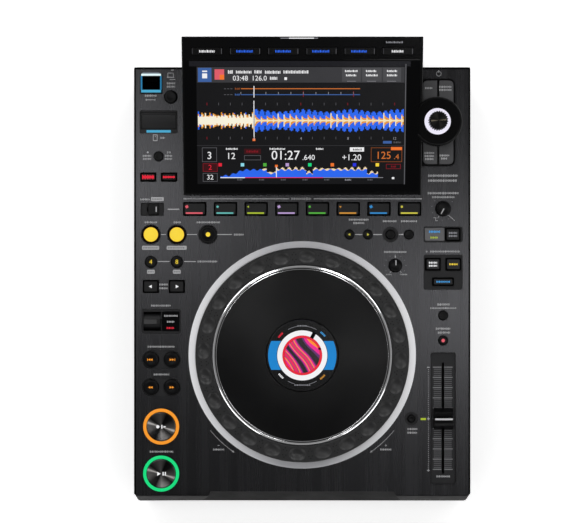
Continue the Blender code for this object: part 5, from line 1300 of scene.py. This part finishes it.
for x in (-102.0, -79.0, -55.9):
    lip = turn("sound_socket_%d" % -x, SOCKET_LIP, (0, 0), 48)
    lip.data.transform(Matrix.Translation((x * MM, 201.8 * MM, 27.0 * MM))
                       @ Matrix.Rotation(math.radians(-90), 4, "X"))
    fit(paint(lip, SATIN_SILVER), "case")
print("rear marked")

# %% [markdown]
# Underneath, a player has screws at the edges of the chassis and rows of air slots.

# %% Underside
UNDER = Matrix(((1, 0, 0, 0), (0, -1, 0, 0), (0, 0, -1, 6.0 * MM), (0, 0, 0, 1)))
screws = [(24, x, y, 7.0, 7.0) for x in (-150.0, 0.0, 150.0) for y in (-190.0, 10.0, 212.0)
          if (x, y) != (0.0, 10.0)]
slots = [(4, x, y, *size) for _, x, y, _, _ in screws for size in ((4.0, 0.9), (0.9, 4.0))]
vents = [(4, -60.0 + 8.0 * step, y, 3.0, 34.0) for step in range(16) for y in (-110.0, 90.0)]
marks("chassis_screws", screws, SATIN_SILVER, "case", 0, 0.5, UNDER)
marks("screw_slots", slots, BLACK_PLASTIC, "case", 0.5, 0.06, UNDER)
marks("air_slots", vents, GLOSS_BLACK, "case", 0, 0.1, UNDER)
print(len(screws), "screws")

# %% [markdown]
# ## Floor and light
# The floor is pale and plain. It glows only to the camera and in reflections, so it turns
# out white without lighting the player. Two soft lamps stand behind, so the brushed
# plate brightens towards the rear, and the gap between them leaves the chrome ring dark at
# its top. Four lamps at the corners light its diagonals, and two high ones fill the sides.
# The sky is pale at the horizon and darker overhead, which keeps gloss black.

# %% Stage
deselect()
bpy.ops.mesh.primitive_plane_add(size=6.0, location=(0, 0, 0))
floor = named("floor")
paper, tree, shader = new_material("paper floor")
speck = add(tree, "TexNoise", Scale=9.0, Detail=3.0, Vector=place_on(tree)).outputs[0]
shade = blend(tree, speck, (0.92, 0.92, 0.92, 1), (0.97, 0.97, 0.97, 1))
feed(tree, shader, Base_Color=shade, Roughness=0.9)
seen = add(tree, "LightPath").outputs
shown = maths(tree, "MAXIMUM", seen["Is Camera Ray"],
              maths(tree, "MAXIMUM", seen["Is Glossy Ray"], seen["Is Transmission Ray"]))
white = add(tree, "Emission", Color=(1, 1, 1, 1), Strength=maths(tree, "MULTIPLY", shown, 0.55))
both = add(tree, "AddShader", i0=shader.outputs[0], i1=white.outputs[0])
feed(tree, tree.nodes["Material Output"], Surface=both.outputs[0])
floor.data.materials.append(paper)


def lamp(name, place, width, depth, power):
    light = bpy.data.lights.new(name, "AREA")
    light.shape, light.size, light.size_y, light.energy = "RECTANGLE", width, depth, power
    lantern = bpy.data.objects.new(name, light)
    bpy.context.scene.collection.objects.link(lantern)
    lantern.location = place
    aim = Vector((0, 0, 0.08)) - Vector(place)
    lantern.rotation_euler = aim.to_track_quat("-Z", "Y").to_euler()
    lantern.visible_camera = False
    return lantern


lamp("rear_softbox_left", (-0.8, 1.46, 1.7), 0.56, 0.5, 5.0)
lamp("rear_softbox_right", (0.68, 1.46, 1.7), 0.52, 0.5, 4.4)
lamp("right_softbox", (0.58, -0.1, 1.9), 0.2, 0.9, 3.4)
lamp("left_softbox", (-0.54, 0.25, 1.9), 0.2, 0.8, 3.2)
for side, end, power in ((-1, 1, 5.0), (1, 1, 5.0), (-1, -1, 3.4), (1, -1, 3.4)):
    lamp("corner_%s_%s" % ("left" if side < 0 else "right", "rear" if end > 0 else "front"),
         (side * 1.35, end * 1.35 - 0.08, 1.35), 1.3, 0.4, power)

world = bpy.data.worlds.new("studio")
bpy.context.scene.world = world
world.use_nodes = True
tree = world.node_tree
height = add(tree, "SeparateXYZ", Vector=add(tree, "TexCoord").outputs["Generated"]).outputs["Z"]
sky = add(tree, "MapRange", Value=height, i1=0.0, i2=0.9, i3=0.75, i4=0.08).outputs[0]
feed(tree, tree.nodes["Background"], Strength=sky, Color=(1, 1, 1, 1))
print("floor, eight lamps and a sky")
